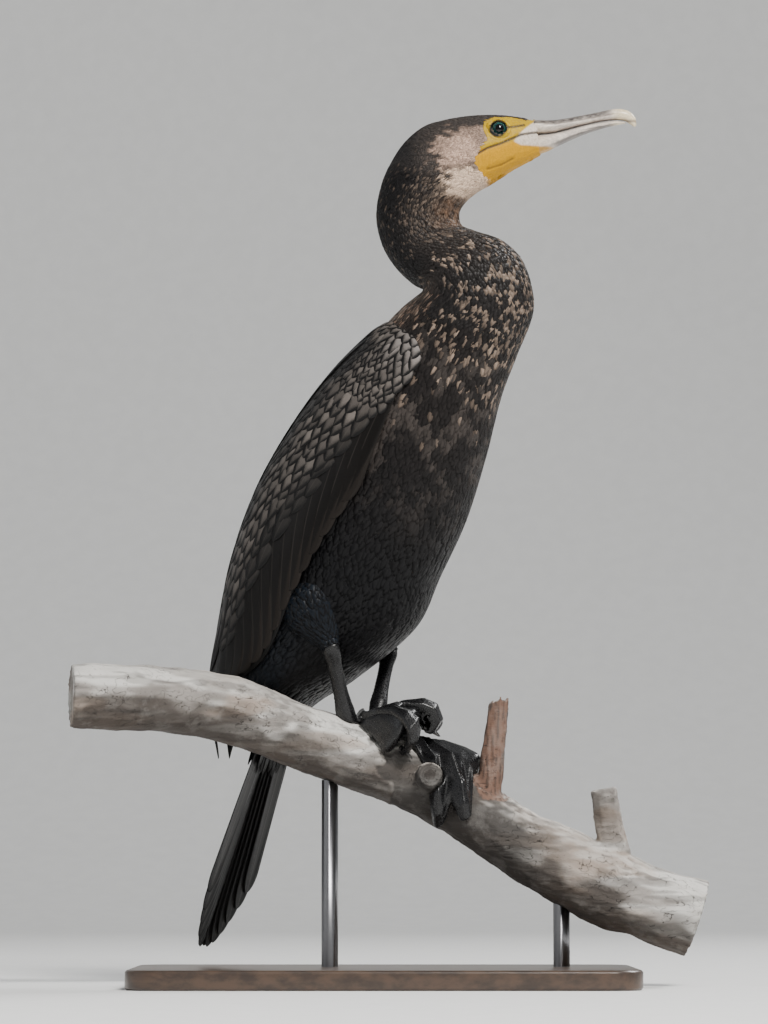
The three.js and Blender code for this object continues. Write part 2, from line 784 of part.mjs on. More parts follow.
function fanSolid(foot) {
  const at = footFrame(foot);
  const columns = 8;
  const spokes = spokesOf(foot.toes);
  const upper = [];
  const lower = [];
  spokes.forEach(({ angle, reach, arch, land, thick }) => {
    for (let c = 0; c < columns; c += 1) {
      const share = c / (columns - 1);
      const here = toeCourse.getPoint(share);
      const ahead = toeCourse.getTangent(share);
      const slope = new THREE.Vector3(ahead.x * reach, ahead.y * arch, 0).normalize();
      const joint = 1 + 0.12 * Math.cos(share * 6 * Math.PI);
      const toe = THREE.MathUtils.lerp(webThickness, toeThickness * (1.1 - 0.35 * share) * joint, thick);
      const soleLift = here.y * (arch - land) + land * Math.min(1, share * 2.5) + solesOff;
      upper.push(at(angle, here.x * reach - slope.y * toe * 0.6, soleLift + webThickness + slope.x * toe * 0.85));
      lower.push(at(angle, here.x * reach + slope.y * toe * 0.3, Math.max(solesOff, soleLift - slope.x * toe * 0.2)));
    }
  });
  return gridSolid(upper, lower, spokes.length, columns);
}

// A closed slab between two sheets of points laid out in the same rows and columns
function gridSolid(upper, lower, rows, columns) {
  const points = [...upper, ...lower];
  const below = upper.length;
  const triangles = [];
  for (let r = 0; r + 1 < rows; r += 1) {
    for (let c = 0; c + 1 < columns; c += 1) {
      const [i, j, k, l] = [r * columns + c, r * columns + c + 1, (r + 1) * columns + c + 1, (r + 1) * columns + c];
      triangles.push([i, j, k], [i, k, l]);
      triangles.push([below + i, below + k, below + j], [below + i, below + l, below + k]);
    }
  }
  const rim = [];
  for (let c = 0; c < columns; c += 1) rim.push(c);
  for (let r = 1; r < rows; r += 1) rim.push(r * columns + columns - 1);
  for (let c = columns - 2; c >= 0; c -= 1) rim.push((rows - 1) * columns + c);
  for (let r = rows - 2; r > 0; r -= 1) rim.push(r * columns);
  rim.forEach((a, i) => {
    const b = rim[(i + 1) % rim.length];
    triangles.push([a, below + a, below + b], [a, below + b, b]);
  });
  return facingOut(points, triangles);
}

function clawSolid(foot, toe, grow) {
  const at = footFrame(foot);
  const shares = [0, 0.3, 0.6, 0.85];
  const middles = shares.map((share) => at(toe.angle, toe.reach - 3 + clawLength * share,
    toe.land + 3.8 - 2.2 * share * share));
  const tip = at(toe.angle, toe.reach - 3 + clawLength, toe.land + 1.4);
  const rings = middles.map((middle, i) => {
    const axis = (middles[i + 1] ?? tip).clone().sub(middle).normalize();
    const across = new THREE.Vector3(0, 0, 1).cross(axis).normalize();
    const up = new THREE.Vector3().crossVectors(axis, across);
    const radius = clawRadius * (1 - 0.75 * shares[i]) + grow;
    return Array.from({ length: 7 }, (_, k) => {
      const round = (k / 7) * 2 * Math.PI;
      return middle.clone()
        .addScaledVector(across, Math.cos(round) * radius * 0.8)
        .addScaledVector(up, Math.sin(round) * radius);
    });
  });
  return loft(rings, null, tip);
}

// The tarsus stops short of the foot's own heel, which carries it down to the branch
function heelSolid(side, foot) {
  const knee = ankle.clone().setY(side * ankle.y);
  const axis = foot.heel.clone().sub(knee).normalize();
  const sizes = [[tarsusEnd, 11.4, 9], [0.9, 12.5, 10], [1.05, 15, 12], [1.3, 16, 13]];
  return limb(sizes.map(([share, depth, width], i) => ({
    middle: knee.clone().lerp(foot.heel, share).addScaledVector(axis, i === 0 ? meetingGap : 0),
    axis,
    depth,
    width,
  })), 12);
}

function footSolid(side, foot) {
  const sockets = foot.toes.map((toe) => clawSolid(foot, toe, meetingGap));
  const heel = cutBy(heelSolid(side, foot), [perchGrown]);
  return cutBy(joined([fanSolid(foot), heel]), [perchGrown, trunkGrown, ...sockets]);
}

// The whole bird
const thighGrown = [-1, 1].map((side) => thighSolid(side, meetingGap));

function wingSolid() {
  const feathered = joined([wingCore(), ...wingVanes(7)]);
  return largestPiece(cutBy(feathered, [trunkGrown, thighGrown[1]]).intersect(sideSlab()));
}

const wing = wingSolid();
const group = new THREE.Group();

function add(name, solid, material) {
  group.add(meshOf(name, solid, material));
}

add('torso', cutBy(trunk, [perchGrown]), plumage);
add('neck_lower', neckLower, neckPlumage);
add('neck_upper', neckUpper, neckPlumage);
add('head', headWithLids(), headPlumage);
add('bill_upper', upperBill, hornPale);
add('bill_lower', lowerBill, hornLower);
add('eye_left', eyeBall(1, eyeRadius), eyeGreen);
add('eye_right', eyeBall(-1, eyeRadius), eyeGreen);
add('wing_left', cutBy(wing, [perchGrown]), wingPlumage);
add('wing_right', cutBy(mirrored(wing), [perchGrown]), wingPlumage);
add('tail', cutBy(tailSolid(), [trunkGrown, perchGrown]), tailPlumage);
for (const [name, side] of [['left', 1], ['right', -1]]) {
  add(`thigh_${name}`, cutBy(thighSolid(side), [trunkGrown, perchGrown]), plumage);
  const tarsus = cutBy(tarsusSolid(side), [trunkGrown, perchGrown, thighGrown[(side + 1) / 2]]);
  add(`tarsus_${name}`, tarsus, footSkin);
  add(`foot_${name}`, footSolid(side, feet[name]), footSkin);
  feet[name].toes.forEach((toe, i) => {
    add(`claw_${name}_${i + 1}`, cutBy(clawSolid(feet[name], toe, 0), [perchGrown]), clawHorn);
  });
}
add('perch_branch', perchSolid(0), bareWood);
add('stand_base', baseSolid(), standWood);
rodPlaces.forEach((run, i) => add(`stand_rod_${i + 1}`, rodSolid(run), rodSteel));

export default group;
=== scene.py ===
import math
import bpy
import numpy as np
from mathutils import Matrix, Vector
from mathutils.kdtree import KDTree


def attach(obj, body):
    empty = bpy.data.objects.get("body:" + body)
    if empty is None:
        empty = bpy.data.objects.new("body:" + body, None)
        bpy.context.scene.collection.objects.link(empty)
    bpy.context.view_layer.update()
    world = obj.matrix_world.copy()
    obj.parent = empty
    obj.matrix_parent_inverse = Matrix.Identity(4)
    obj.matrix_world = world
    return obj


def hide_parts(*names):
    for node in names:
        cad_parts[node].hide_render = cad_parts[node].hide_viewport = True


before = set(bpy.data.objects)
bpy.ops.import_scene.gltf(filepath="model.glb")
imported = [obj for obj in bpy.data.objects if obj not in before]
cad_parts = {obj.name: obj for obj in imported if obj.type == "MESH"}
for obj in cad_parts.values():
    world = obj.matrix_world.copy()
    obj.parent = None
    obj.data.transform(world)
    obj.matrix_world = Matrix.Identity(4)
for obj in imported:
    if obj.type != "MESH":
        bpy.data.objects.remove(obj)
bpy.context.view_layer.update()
mm = 0.001              # metres in a millimetre
headTurn = 24.0         # degrees, the head looks to the bird's left
turnPivotX = 30.0       # millimetres, the line that the head turns about
branchHeading = 30.0    # degrees, the branch runs across the bird
print("frame loaded:", len(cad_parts), "nodes")

# Camera at the photo's viewing angle, in degrees and millimetres
cameraSetup = {"azimuth": 30.0, "elevation": -5.0, "distance": 3000.0, "aim": (0.0, 0.0, 340.0),
               "frameHeight": 737.3, "filmHeight": 36.0, "nearClip": 0.05}


def addCamera(setup):
    a, e = math.radians(setup["azimuth"]), math.radians(setup["elevation"])
    back = Vector((math.sin(a) * math.cos(e), -math.cos(a) * math.cos(e), math.sin(e)))
    aim = Vector(setup["aim"]) * mm
    bpy.ops.object.camera_add(location=aim + back * setup["distance"] * mm)
    camera = bpy.context.object
    camera.rotation_euler = (-back).to_track_quat("-Z", "Y").to_euler()
    camera.data.lens = setup["filmHeight"] * setup["distance"] / setup["frameHeight"]
    camera.data.clip_start = setup["nearClip"]
    bpy.context.scene.camera = camera


addCamera(cameraSetup)


# Small helpers
def smooth(value, low, high):
    # 0 at low, 1 at high, easing in and out
    t = np.clip((np.asarray(value, float) - low) / (high - low), 0, 1)
    return t * t * (3 - 2 * t)


def blendColour(first, second, share):
    share = np.asarray(share, float)[..., None]
    return np.asarray(first, float) * (1 - share) + np.asarray(second, float) * share


def spline(rows, place):
    # a smooth curve through the rows, straight on beyond its ends
    rows = np.asarray(rows, float)
    ends = np.vstack([2 * rows[0] - rows[1], rows, 2 * rows[-1] - rows[-2]])
    inside = np.clip(place, 0, len(rows) - 1 - 1e-9)
    i = np.floor(inside).astype(int)
    t = (inside - i)[..., None]
    p0, p1, p2, p3 = (ends[i + k] for k in range(4))
    beyond = (place - inside)[..., None]
    slope = np.where(beyond < 0, rows[1] - rows[0], rows[-1] - rows[-2])
    return beyond * slope + 0.5 * (2 * p1 + (p2 - p0) * t + (2 * p0 - 5 * p1 + 4 * p2 - p3) * t ** 2
                                   + (3 * p1 - p0 - 3 * p2 + p3) * t ** 3)


def placed(x, across, z, turn):
    # from the head's own plane to the bird's, in millimetres
    a = np.radians(turn)
    reach = x - turnPivotX
    return np.stack([turnPivotX + reach * np.cos(a) - across * np.sin(a),
                     reach * np.sin(a) + across * np.cos(a), z + 0 * reach], -1)


def unplaced(points, turn=headTurn):
    a = math.radians(turn)
    x, y = points[..., 0] - turnPivotX, points[..., 1]
    return turnPivotX + x * math.cos(a) + y * math.sin(a), -x * math.sin(a) + y * math.cos(a), points[..., 2]


def faded(measures, fades):
    # a fade is a measure's own share, or a measure with where it is none and where it is full
    share = 1.0
    for fade in fades:
        if isinstance(fade, str):
            share = share * measures[fade]
        else:
            name, none, full = fade
            share = share * smooth(measures[name], none, full)
    return share


def marked(base, colours, measures, marks):
    # each mark goes over the last: its colour, its strength and its fades
    for colour, strength, fades in marks:
        base = blendColour(base, colours[colour], strength * faded(measures, fades))
    return base


def plain(colour, count):
    return np.tile(np.asarray(colour, float), (count, 1))


# The bird's form as sections: back x, back z, front x, front z, half width, turn (millimetres, degrees)
birdRows = [
    (-105, 198, -65, 183, 20, 0), (-119, 221, -42, 198, 36, 0), (-122, 252, -13, 213, 47, 0),
    (-110, 306, 19, 255, 55, 0), (-89, 357, 39, 291, 58, 0), (-60, 402, 60, 330, 57, 0),
    (-29, 441, 77, 375, 51, 0), (3, 471, 90, 417, 44, 0), (22, 487, 104, 448, 40, 0),
    (36, 495.5, 118, 481, 36, 0), (36.5, 498, 111.5, 513, 33.5, 0), (32.6, 499.5, 96, 530, 32, 0),
    (25, 504, 76, 538, 30, 2), (13.4, 515, 62.3, 543.7, 28.5, 5), (3.2, 531, 58.2, 550, 28, 9),
    (-1.5, 552, 59.2, 558, 28.5, 14), (1.8, 574, 66.3, 566, 28.5, 19), (9, 591, 74, 571.5, 28, 23),
    (19, 606, 79, 574, 27, 24), (33, 617.5, 84, 577, 26, 24), (48, 622, 89, 580, 24.5, 24),
    (62, 624.3, 94, 583, 22.5, 24), (76, 625.2, 99, 586, 20, 24), (90, 624.8, 105, 589, 17.2, 24),
    (103, 623, 111, 592.3, 14.4, 24), (115, 621.4, 117, 595.4, 12, 24),
]
wingRows = [
    (16, 483, 100, 440, 42, 0), (1, 473, 90, 417, 47, 0), (-34, 444, 77, 375, 55.5, 0),
    (-67, 406, 60, 330, 62, 0), (-96, 362, 39, 291, 65, 0), (-118, 311, 20, 255, 63, 0),
    (-131, 261, -6, 213, 55, 0), (-139, 226, -60, 197, 41, 0), (-140, 198, -92, 180, 29, 0),
    (-136, 170, -112, 163, 18, 0),
]
# The folded wing's upper and lower edge at each row, in degrees from the back
wingEdges = [(44, 92), (28, 103), (17, 104), (10, 104), (6, 103), (4, 100), (3, 94), (3, 84), (4, 72),
             (10, 52)]
# How far the wing sinks in at its shoulder and along its lower edge, and where
wingLie = {"shoulderPress": 3.0, "shoulder": (1.1, 0.0), "edgePress": 2.0, "edge": (0.75, 1.0),
           "edgeAlong": (3.0, 1.5)}


def sectionPoint(rows, place, angle, lift):
    place, angle, lift = np.broadcast_arrays(np.asarray(place, float), angle, lift)
    backX, backZ, frontX, frontZ, half, turn = np.moveaxis(spline(rows, place), -1, 0)
    depthX, depthZ = (frontX - backX) / 2, (frontZ - backZ) / 2
    depth = np.hypot(depthX, depthZ)
    along = -np.cos(angle) * (1 + lift / depth)
    across = np.sin(angle) * (half + lift)
    return placed((backX + frontX) / 2 + depthX * along, across, (backZ + frontZ) / 2 + depthZ * along, turn)


# The coat's own form: its lower belly lies back between the legs
coatBelly = [(-105, 198, -80, 189, 20, 0), (-119, 221, -60, 205, 36, 0), (-122, 252, -29, 221, 47, 0)]
coatRows = coatBelly + birdRows[len(coatBelly):]


def bodyGuide(place, cross, lift):
    return sectionPoint(coatRows, place, cross, lift)


def wingSpan(place):
    edges = np.radians(spline(wingEdges, place))
    return edges[..., 0], edges[..., 1]


def wingGuide(side):
    def guide(place, cross, lift):
        upper, lower = wingSpan(np.asarray(place, float))
        edge = smooth(cross, *wingLie["edge"]) * smooth(place, *wingLie["edgeAlong"])
        shoulder = smooth(place, *wingLie["shoulder"])
        lift = lift - wingLie["shoulderPress"] * shoulder - wingLie["edgePress"] * edge
        return sectionPoint(wingRows, place, side * (upper + (lower - upper) * cross), lift)
    return guide


tailForm = {"length": 187.0, "rootX": -84.0, "rootZ": 200.0, "lean": 20.6, "roof": 0.1}


def tailGuide(place, cross, lift):
    lean = math.radians(tailForm["lean"])
    place, cross, lift = np.broadcast_arrays(np.asarray(place, float), cross, lift)
    up = lift - tailForm["roof"] * np.abs(cross)
    x = tailForm["rootX"] - math.sin(lean) * tailForm["length"] * place - math.cos(lean) * up
    z = tailForm["rootZ"] - math.cos(lean) * tailForm["length"] * place + math.sin(lean) * up
    return np.stack([x, cross + 0 * x, z], -1)


# Meshes from arrays, for what is repeated thousands of times
def meshPiece(name, points, quads, values, uv=None):
    mesh = bpy.data.meshes.new(name)
    mesh.vertices.add(len(points))
    mesh.vertices.foreach_set("co", (np.asarray(points, float) * mm).astype(np.float32).ravel())
    mesh.loops.add(quads.size)
    mesh.loops.foreach_set("vertex_index", quads.astype(np.int32).ravel())
    mesh.polygons.add(len(quads))
    mesh.polygons.foreach_set("loop_start", np.arange(0, quads.size, quads.shape[1], dtype=np.int32))
    for key, data in values.items():
        kind = "FLOAT_VECTOR" if data.shape[-1] == 3 else "FLOAT_COLOR"
        layer = mesh.attributes.new(key, kind, "POINT")
        layer.data.foreach_set("vector" if kind == "FLOAT_VECTOR" else "color",
                               data.astype(np.float32).ravel())
    if uv is not None:
        layer = mesh.uv_layers.new(name="OFBake")
        layer.data.foreach_set("uv", uv[quads.ravel()].astype(np.float32).ravel())
    mesh.update(calc_edges=True)
    mesh.validate()
    mesh.polygons.foreach_set("use_smooth", np.full(len(mesh.polygons), True))
    piece = bpy.data.objects.new(name, mesh)
    bpy.context.scene.collection.objects.link(piece)
    return piece


def vaneFaces(rows, columns):
    # upper and lower face of a thin vane, closed round its rim
    faces = []
    below = rows * columns
    for r in range(rows - 1):
        for c in range(columns - 1):
            a = r * columns + c
            b = a + 1
            faces.append((a, b, b + columns, a + columns))
            faces.append((below + a, below + a + columns, below + b + columns, below + b))
    rim = list(range(columns)) + [r * columns + columns - 1 for r in range(1, rows)]
    rim += [(rows - 1) * columns + c for c in range(columns - 2, -1, -1)]
    rim += [r * columns for r in range(rows - 2, 0, -1)]
    for a, b in zip(rim, rim[1:] + rim[:1]):
        faces.append((a, below + a, below + b, b))
    return np.array(faces)


# What all vanes share: the root's end, the tip's least width, how they thin out and twist, and their
# patch of the bake
vaneForm = {"rootEnd": 0.4, "leastTip": 0.07, "thinEdge": 0.5, "thinTip": 0.4, "twistFrom": 0.1,
            "twistTo": 0.6, "patch": 0.003}


def layFeathers(name, guide, spots, shape, colours, unwrap):
    # spots: start, end along the guide; cross at start and end; half width, all arrays
    rows, columns = shape["rows"], shape["columns"]
    count = len(spots["start"])
    share = (1 - (1 - np.linspace(0, 1, rows)) ** shape["tipRows"])[None, :, None]
    across = np.linspace(-1, 1, columns)[None, None, :]
    grown = smooth(share, 0, vaneForm["rootEnd"])
    rounding = np.clip((share - shape["full"]) / (1 - shape["full"]), 0, 1)
    outline = shape["root"] + (1 - shape["root"]) * grown
    outline = outline * np.maximum((1 - rounding ** 2) ** shape["point"], vaneForm["leastTip"])
    wanted = ("start", "end", "cross", "crossEnd", "half", "lift", "tilt")
    start, end, cross, crossEnd, half, lift, tilt = (spots[key][:, None, None] for key in wanted)
    place = start + (end - start) * share
    spread = cross + (crossEnd - cross) * share + across * half * outline
    rise = np.interp(share, np.linspace(0, 1, len(shape["rise"])), shape["rise"]) * lift
    rise = rise - shape["sink"] * (1 - grown) - shape["camber"] * across ** 2 * outline
    rise = rise + tilt * across * smooth(share, vaneForm["twistFrom"], vaneForm["twistTo"])
    thin = (1 - vaneForm["thinEdge"] * np.abs(across)) * (1 - vaneForm["thinTip"] * share)
    thick = shape["thickness"] * thin
    upper = guide(place, spread, rise)
    lower = guide(place, spread, rise - thick)
    points = np.concatenate([upper.reshape(count, -1, 3), lower.reshape(count, -1, 3)], 1)
    faces = vaneFaces(rows, columns)
    size = points.shape[1]
    quads = (faces[None] + (np.arange(count) * size)[:, None, None]).reshape(-1, 4)
    if spots.get("mirrored"):
        quads = quads[:, ::-1]
    grid = np.broadcast_to(np.stack(np.broadcast_arrays(across, share), -1), (count, rows, columns, 2))
    grid = np.tile(grid.reshape(count, -1, 2), (1, 2, 1))
    random = np.broadcast_to(spots["random"][:, None], grid.shape[:2])
    vane = np.concatenate([grid, random[..., None]], -1).reshape(-1, 3)
    uv = unwrap(spots)[:, None, :] + (grid * (0.5, 1) + (0.5, 0)) * shape.get("patch", vaneForm["patch"])
    values = {"vane": vane, "tint": np.repeat(colours["tint"], size, 0),
              "rim": np.repeat(colours["rim"], size, 0)}
    return meshPiece(name, points.reshape(-1, 3), quads, values, uv.reshape(-1, 2))


def withAlpha(colour):
    colour = np.asarray(colour, float)
    return np.concatenate([colour, np.ones(colour.shape[:-1] + (1,))], -1)


# Shader node groups that several materials share
def newGroup(name, inputs, outputs):
    group = bpy.data.node_groups.new(name, "ShaderNodeTree")
    for label, kind, value in inputs:
        socket = group.interface.new_socket(name=label, in_out="INPUT", socket_type=kind)
        if value is not None:
            socket.default_value = value
    for label, kind in outputs:
        group.interface.new_socket(name=label, in_out="OUTPUT", socket_type=kind)
    return group, group.nodes.new("NodeGroupInput"), group.nodes.new("NodeGroupOutput")


class Wiring:
    # short ways to add nodes to one tree
    def __init__(self, tree):
        self.tree = tree

    def node(self, kind, values=None, **settings):
        made = self.tree.nodes.new(kind)
        for key, value in settings.items():
            setattr(made, key, value)
        for key, value in (values or {}).items():
            if isinstance(value, bpy.types.NodeSocket):
                self.tree.links.new(value, made.inputs[key])
            else:
                made.inputs[key].default_value = value
        return made

    def maths(self, operation, a, b=0.0, clamp=False):
        return self.node("ShaderNodeMath", {0: a, 1: b}, operation=operation, use_clamp=clamp).outputs[0]

    def mix(self, share, a, b, blend="MIX"):
        made = self.node("ShaderNodeMix", {0: share, 6: a, 7: b}, data_type="RGBA", blend_type=blend,
                         clamp_factor=True)
        return made.outputs[2]

    def ramp(self, value, stops):
        # stops: where it starts and ends, and the values there
        values = dict(zip(("From Min", "From Max", "To Min", "To Max"), stops))
        return self.node("ShaderNodeMapRange", {"Value": value, **values}, clamp=True,
                         interpolation_type="SMOOTHSTEP").outputs[0]

    def noise(self, vector, scale, detail=3.0, rough=0.5):
        return self.node("ShaderNodeTexNoise", {"Vector": vector, "Scale": scale, "Detail": detail,
                                                "Roughness": rough}).outputs["Fac"]

    def place(self):
        return self.node("ShaderNodeTexCoord").outputs["Object"]

    def stretched(self, place, scale, turn=(0, 0, 0)):
        # for grain that runs one way
        return self.node("ShaderNodeMapping", {"Vector": place, "Rotation": turn, "Scale": scale}).outputs[0]

    def painted(self, name, kind="Color"):
        # what the mesh carries at its points
        return self.node("ShaderNodeAttribute", attribute_name=name).outputs[kind]

    def shaded(self, colour, light):
        # the colour times a light or dark grey
        grey = self.node("ShaderNodeCombineColor", {0: light, 1: light, 2: light}).outputs[0]
        return self.mix(1.0, colour, grey, "MULTIPLY")


# Barbs, shaft, worn edge and shade of a feather
vaneShading = {"raggedScale": 900.0, "ragged": 0.22, "tipReach": 0.92, "barbSlant": -14.0,
               "barbTint": 0.05, "barbHeight": 0.18, "shaftNarrow": 16.0, "darkest": 0.84, "spread": 0.32,
               "fullTurn": 6.2832, "shaftColour": (0.16, 0.14, 0.12, 1), "rimRoughness": 0.18,
               "bump": 0.25, "bumpDepth": 0.0002}


def featherGroup():
    v = vaneShading
    group, source, sink = newGroup("featherVane", [
        ("Vane", "NodeSocketVector", None), ("Tint", "NodeSocketColor", None),
        ("Rim", "NodeSocketColor", None), ("Rim Start", "NodeSocketFloat", 0.72),
        ("Shaft", "NodeSocketFloat", 0.3), ("Barbs", "NodeSocketFloat", 60.0),
        ("Place", "NodeSocketVector", None)],
        [("Color", "NodeSocketColor"), ("Edge", "NodeSocketFloat"), ("Height", "NodeSocketFloat")])
    w = Wiring(group)
    parts = w.node("ShaderNodeSeparateXYZ", {0: source.outputs["Vane"]})
    across = w.maths("ABSOLUTE", parts.outputs[0])
    along, random = parts.outputs[1], parts.outputs[2]
    ragged = w.noise(source.outputs["Place"], v["raggedScale"], 2.0)
    tip = w.maths("MULTIPLY", along, w.maths("ADD", v["tipReach"], w.maths("MULTIPLY", across, across)))
    reach = w.maths("MAXIMUM", across, tip)
    reach = w.maths("ADD", reach, w.maths("MULTIPLY", w.maths("SUBTRACT", ragged, 0.5), v["ragged"]))
    rim = {"Value": reach, "From Min": source.outputs["Rim Start"], "From Max": 1.0, "To Min": 0.0,
           "To Max": 1.0}
    edge = w.node("ShaderNodeMapRange", rim, interpolation_type="SMOOTHSTEP").outputs[0]
    slant = w.maths("MULTIPLY", across, v["barbSlant"])
    slant = w.maths("ADD", w.maths("MULTIPLY", along, source.outputs["Barbs"]), slant)
    barbs = w.maths("SINE", w.maths("MULTIPLY", slant, v["fullTurn"]))
    shaft = w.maths("SUBTRACT", 1.0, w.maths("MULTIPLY", across, v["shaftNarrow"]), clamp=True)
    colour = w.mix(edge, source.outputs["Tint"], source.outputs["Rim"])
    vary = w.maths("ADD", v["darkest"], w.maths("MULTIPLY", random, v["spread"]))
    vary = w.maths("ADD", vary, w.maths("MULTIPLY", barbs, v["barbTint"]))
    colour = w.shaded(colour, vary)
    colour = w.mix(w.maths("MULTIPLY", shaft, source.outputs["Shaft"]), colour, v["shaftColour"])
    height = w.maths("ADD", w.maths("MULTIPLY", barbs, v["barbHeight"]), shaft)
    for label, value in (("Color", colour), ("Edge", edge), ("Height", height)):
        group.links.new(value, sink.inputs[label])
    return group


featherVane = featherGroup()


def newMaterial(name, roughness=0.5, **constants):
    made = bpy.data.materials.new(name)
    made.use_nodes = True
    shader = made.node_tree.nodes["Principled BSDF"]
    shader.inputs["Roughness"].default_value = roughness
    for key, value in constants.items():
        shader.inputs[key.replace("_", " ")].default_value = value
    return made, Wiring(made.node_tree), shader


def linkInto(wiring, shader, **sockets):
    for key, value in sockets.items():
        wiring.tree.links.new(value, shader.inputs[key.replace("_", " ")])


def bump(wiring, shader, height, strength, distance):
    made = wiring.node("ShaderNodeBump", {"Height": height, "Strength": strength, "Distance": distance})
    wiring.tree.links.new(made.outputs[0], shader.inputs["Normal"])


def featherMaterial(name, roughness, rimStart, shaft, barbs, sheen, specular):
    made, w, shader = newMaterial(name, roughness, Sheen_Weight=sheen, Sheen_Roughness=0.4,
                                  Specular_IOR_Level=specular)
    group = w.node("ShaderNodeGroup")
    group.node_tree = featherVane
    for key, value in (("Vane", w.painted("vane", "Vector")), ("Tint", w.painted("tint")),
                       ("Rim", w.painted("rim")), ("Place", w.place())):
        w.tree.links.new(value, group.inputs[key])
    for key, value in (("Rim Start", rimStart), ("Shaft", shaft), ("Barbs", barbs)):
        group.inputs[key].default_value = value
    rough = w.ramp(group.outputs["Edge"], (0, 1, roughness, roughness + vaneShading["rimRoughness"]))
    linkInto(w, shader, Base_Color=group.outputs["Color"], Roughness=rough)
    bump(w, shader, group.outputs["Height"], vaneShading["bump"], vaneShading["bumpDepth"])
    return made


waveForm = {"fullTurn": 6.283, "directions": 6, "finer": 1.9, "fainter": 0.6, "weight": 2.2}


def waves(points, scale, seed, octaves=3):
    # smooth noise from sums of sines at random slants, from -1 to 1
    shift = np.random.default_rng(seed)
    total = np.zeros(len(points))
    weight = 0.0
    for octave in range(octaves):
        faint = waveForm["fainter"] ** octave
        for _ in range(waveForm["directions"]):
            direction = shift.normal(0, 1, 3)
            direction /= np.linalg.norm(direction)
            phase = shift.uniform(0, waveForm["fullTurn"])
            run = points @ direction * waveForm["fullTurn"] / scale * waveForm["finer"] ** octave
            total += np.sin(run + phase) * faint
        weight += waveForm["weight"] * faint
    return np.clip(total / weight, -1, 1)


# Markings by formula, shared by the skin and the coat: colours in linear light
plumageColours = {
    "belly": (0.0045, 0.0045, 0.0052), "breast": (0.013, 0.011, 0.0105), "breastPaleAndSheen": (0.055, 0.046, 0.041),
    "neck": (0.020, 0.0155, 0.0135), "nape": (0.0045, 0.004, 0.0045), "fleck": (0.50, 0.37, 0.28),
    "mantle": (0.040, 0.029, 0.023), "rufous": (0.27, 0.18, 0.13), "crown": (0.040, 0.032, 0.028),
    "cheek": (0.57, 0.39, 0.295), "throat": (0.72, 0.53, 0.39), "dusk": (0.09, 0.06, 0.045),
    "front": (0.20, 0.115, 0.07), "chin": (0.52, 0.262, 0.0), "flank": (0.0065, 0.009, 0.013),
}


# Marks: colour, strength, and fades as (measure, none at, full at); place runs from tail 0 to bill 25,
# around is degrees from the back, x and z are millimetres in the head's plane
bodyMarks = [
    # painted sheen: a bluish tint over the lower flanks stands for their gloss
    ("flank", 1.0, [("place", 3.4, 1.2), ("around", 50, 75), ("around", 130, 105)]),
    ("breast", 1.0, [("place", 3.6, 7.0)]),
    # pale mottles on the breast's side, made stronger to stand for its sheen: partly real mottling, partly
    # painted sheen
    ("breastPaleAndSheen", 0.7, [("place", 4.4, 6.2), ("place", 8.6, 7.4), ("around", 70, 100),
                         ("blotch", -0.1, 0.6)]),
    ("mantle", 1.0, [("around", 80, 45), ("place", 4.5, 6.5)]),
    ("neck", 1.0, [("place", 9.5, 12.0)]),
    ("nape", 0.9, [("place", 10.5, 12.5), ("around", 110, 60)]),
    ("front", 1.0, [("place", 13.0, 14.2), ("place", 16.8, 15.2), ("around", 115, 160), "frontMottle"]),
    ("crown", 1.0, ["head"]),
    ("nape", 0.8, ["head", ("napeEdge", 42, 22)]),
    ("cheek", 1.0, ["cheek", "cheekStreaks"]),
    ("throat", 1.0, [("throatReach", 1.15, 0.6)]),
    ("chin", 1.0, [("place", 17.4, 18.4), ("x", 80, 85), ("z", 604, 598)]),
    ("dusk", 0.6, [("fromDuskLine", 2.6, 0.6), ("x", 48, 56), ("x", 79, 72)]),
]
headStart = ("place", 16.6, 17.8)
# Chance of a pale fleck: least, how much more, where that grows, and its fades
fleckChances = [
    (0.14, 0.27, ("around", 80, 130), [("place", 6.6, 8.2), ("place", 12.4, 10.8), "clouding"]),
    (0.0, 0.08, ("around", 80, 120), [("place", 5.6, 7.4), ("place", 8, 7)]),
    (0.10, 0.45, ("around", 60, 120), [("place", 12.0, 13.2), ("place", 17.6, 16.6)]),
    (0.0, 0.25, ("x", 20, 34), ["head"]),
]
fleckThinning = [(0.65, headStart), (0.5, ("place", 7.5, 6)), (0.62, ("place", 11.5, 13.0))]
mantleFlecks = [("around", 85, 50), ("place", 5.8, 7), ("place", 9.8, 8.8)]
fleckForm = {"mostChance": 0.6, "faintest": 0.25, "rufousChance": 0.5, "rufous": 0.8, "tint": 0.5,
             "rim": 0.4, "rufousTint": 0.7, "rimShade": 0.85}
markNoise = {"cloud": (30.0, 71, 3), "fine": (9.0, 73, 2), "streak": (3.2, 77, 2),
             "streakSlant": (0.22, 0.1)}
markEdge = {"fine": 0.14, "streak": 0.3, "streakAt": (74, 50)}
paleFades = {"cheek": (1.25, 0.45), "behindEye": (1.05, 0.6), "behindEyeShare": 0.55}
# Centre x and z, half width and half height
paleOvals = {"cheek": (64, 597.5, 20, 15), "behindEye": (76, 607, 12, 9), "throat": (69, 576.5, 18, 11.5)}
duskLine = {"x": 62, "z": 586.0, "slope": 0.16, "rough": 1.5}


def oval(x, z, form):
    return np.hypot((x - form[0]) / form[2], (z - form[1]) / form[3])


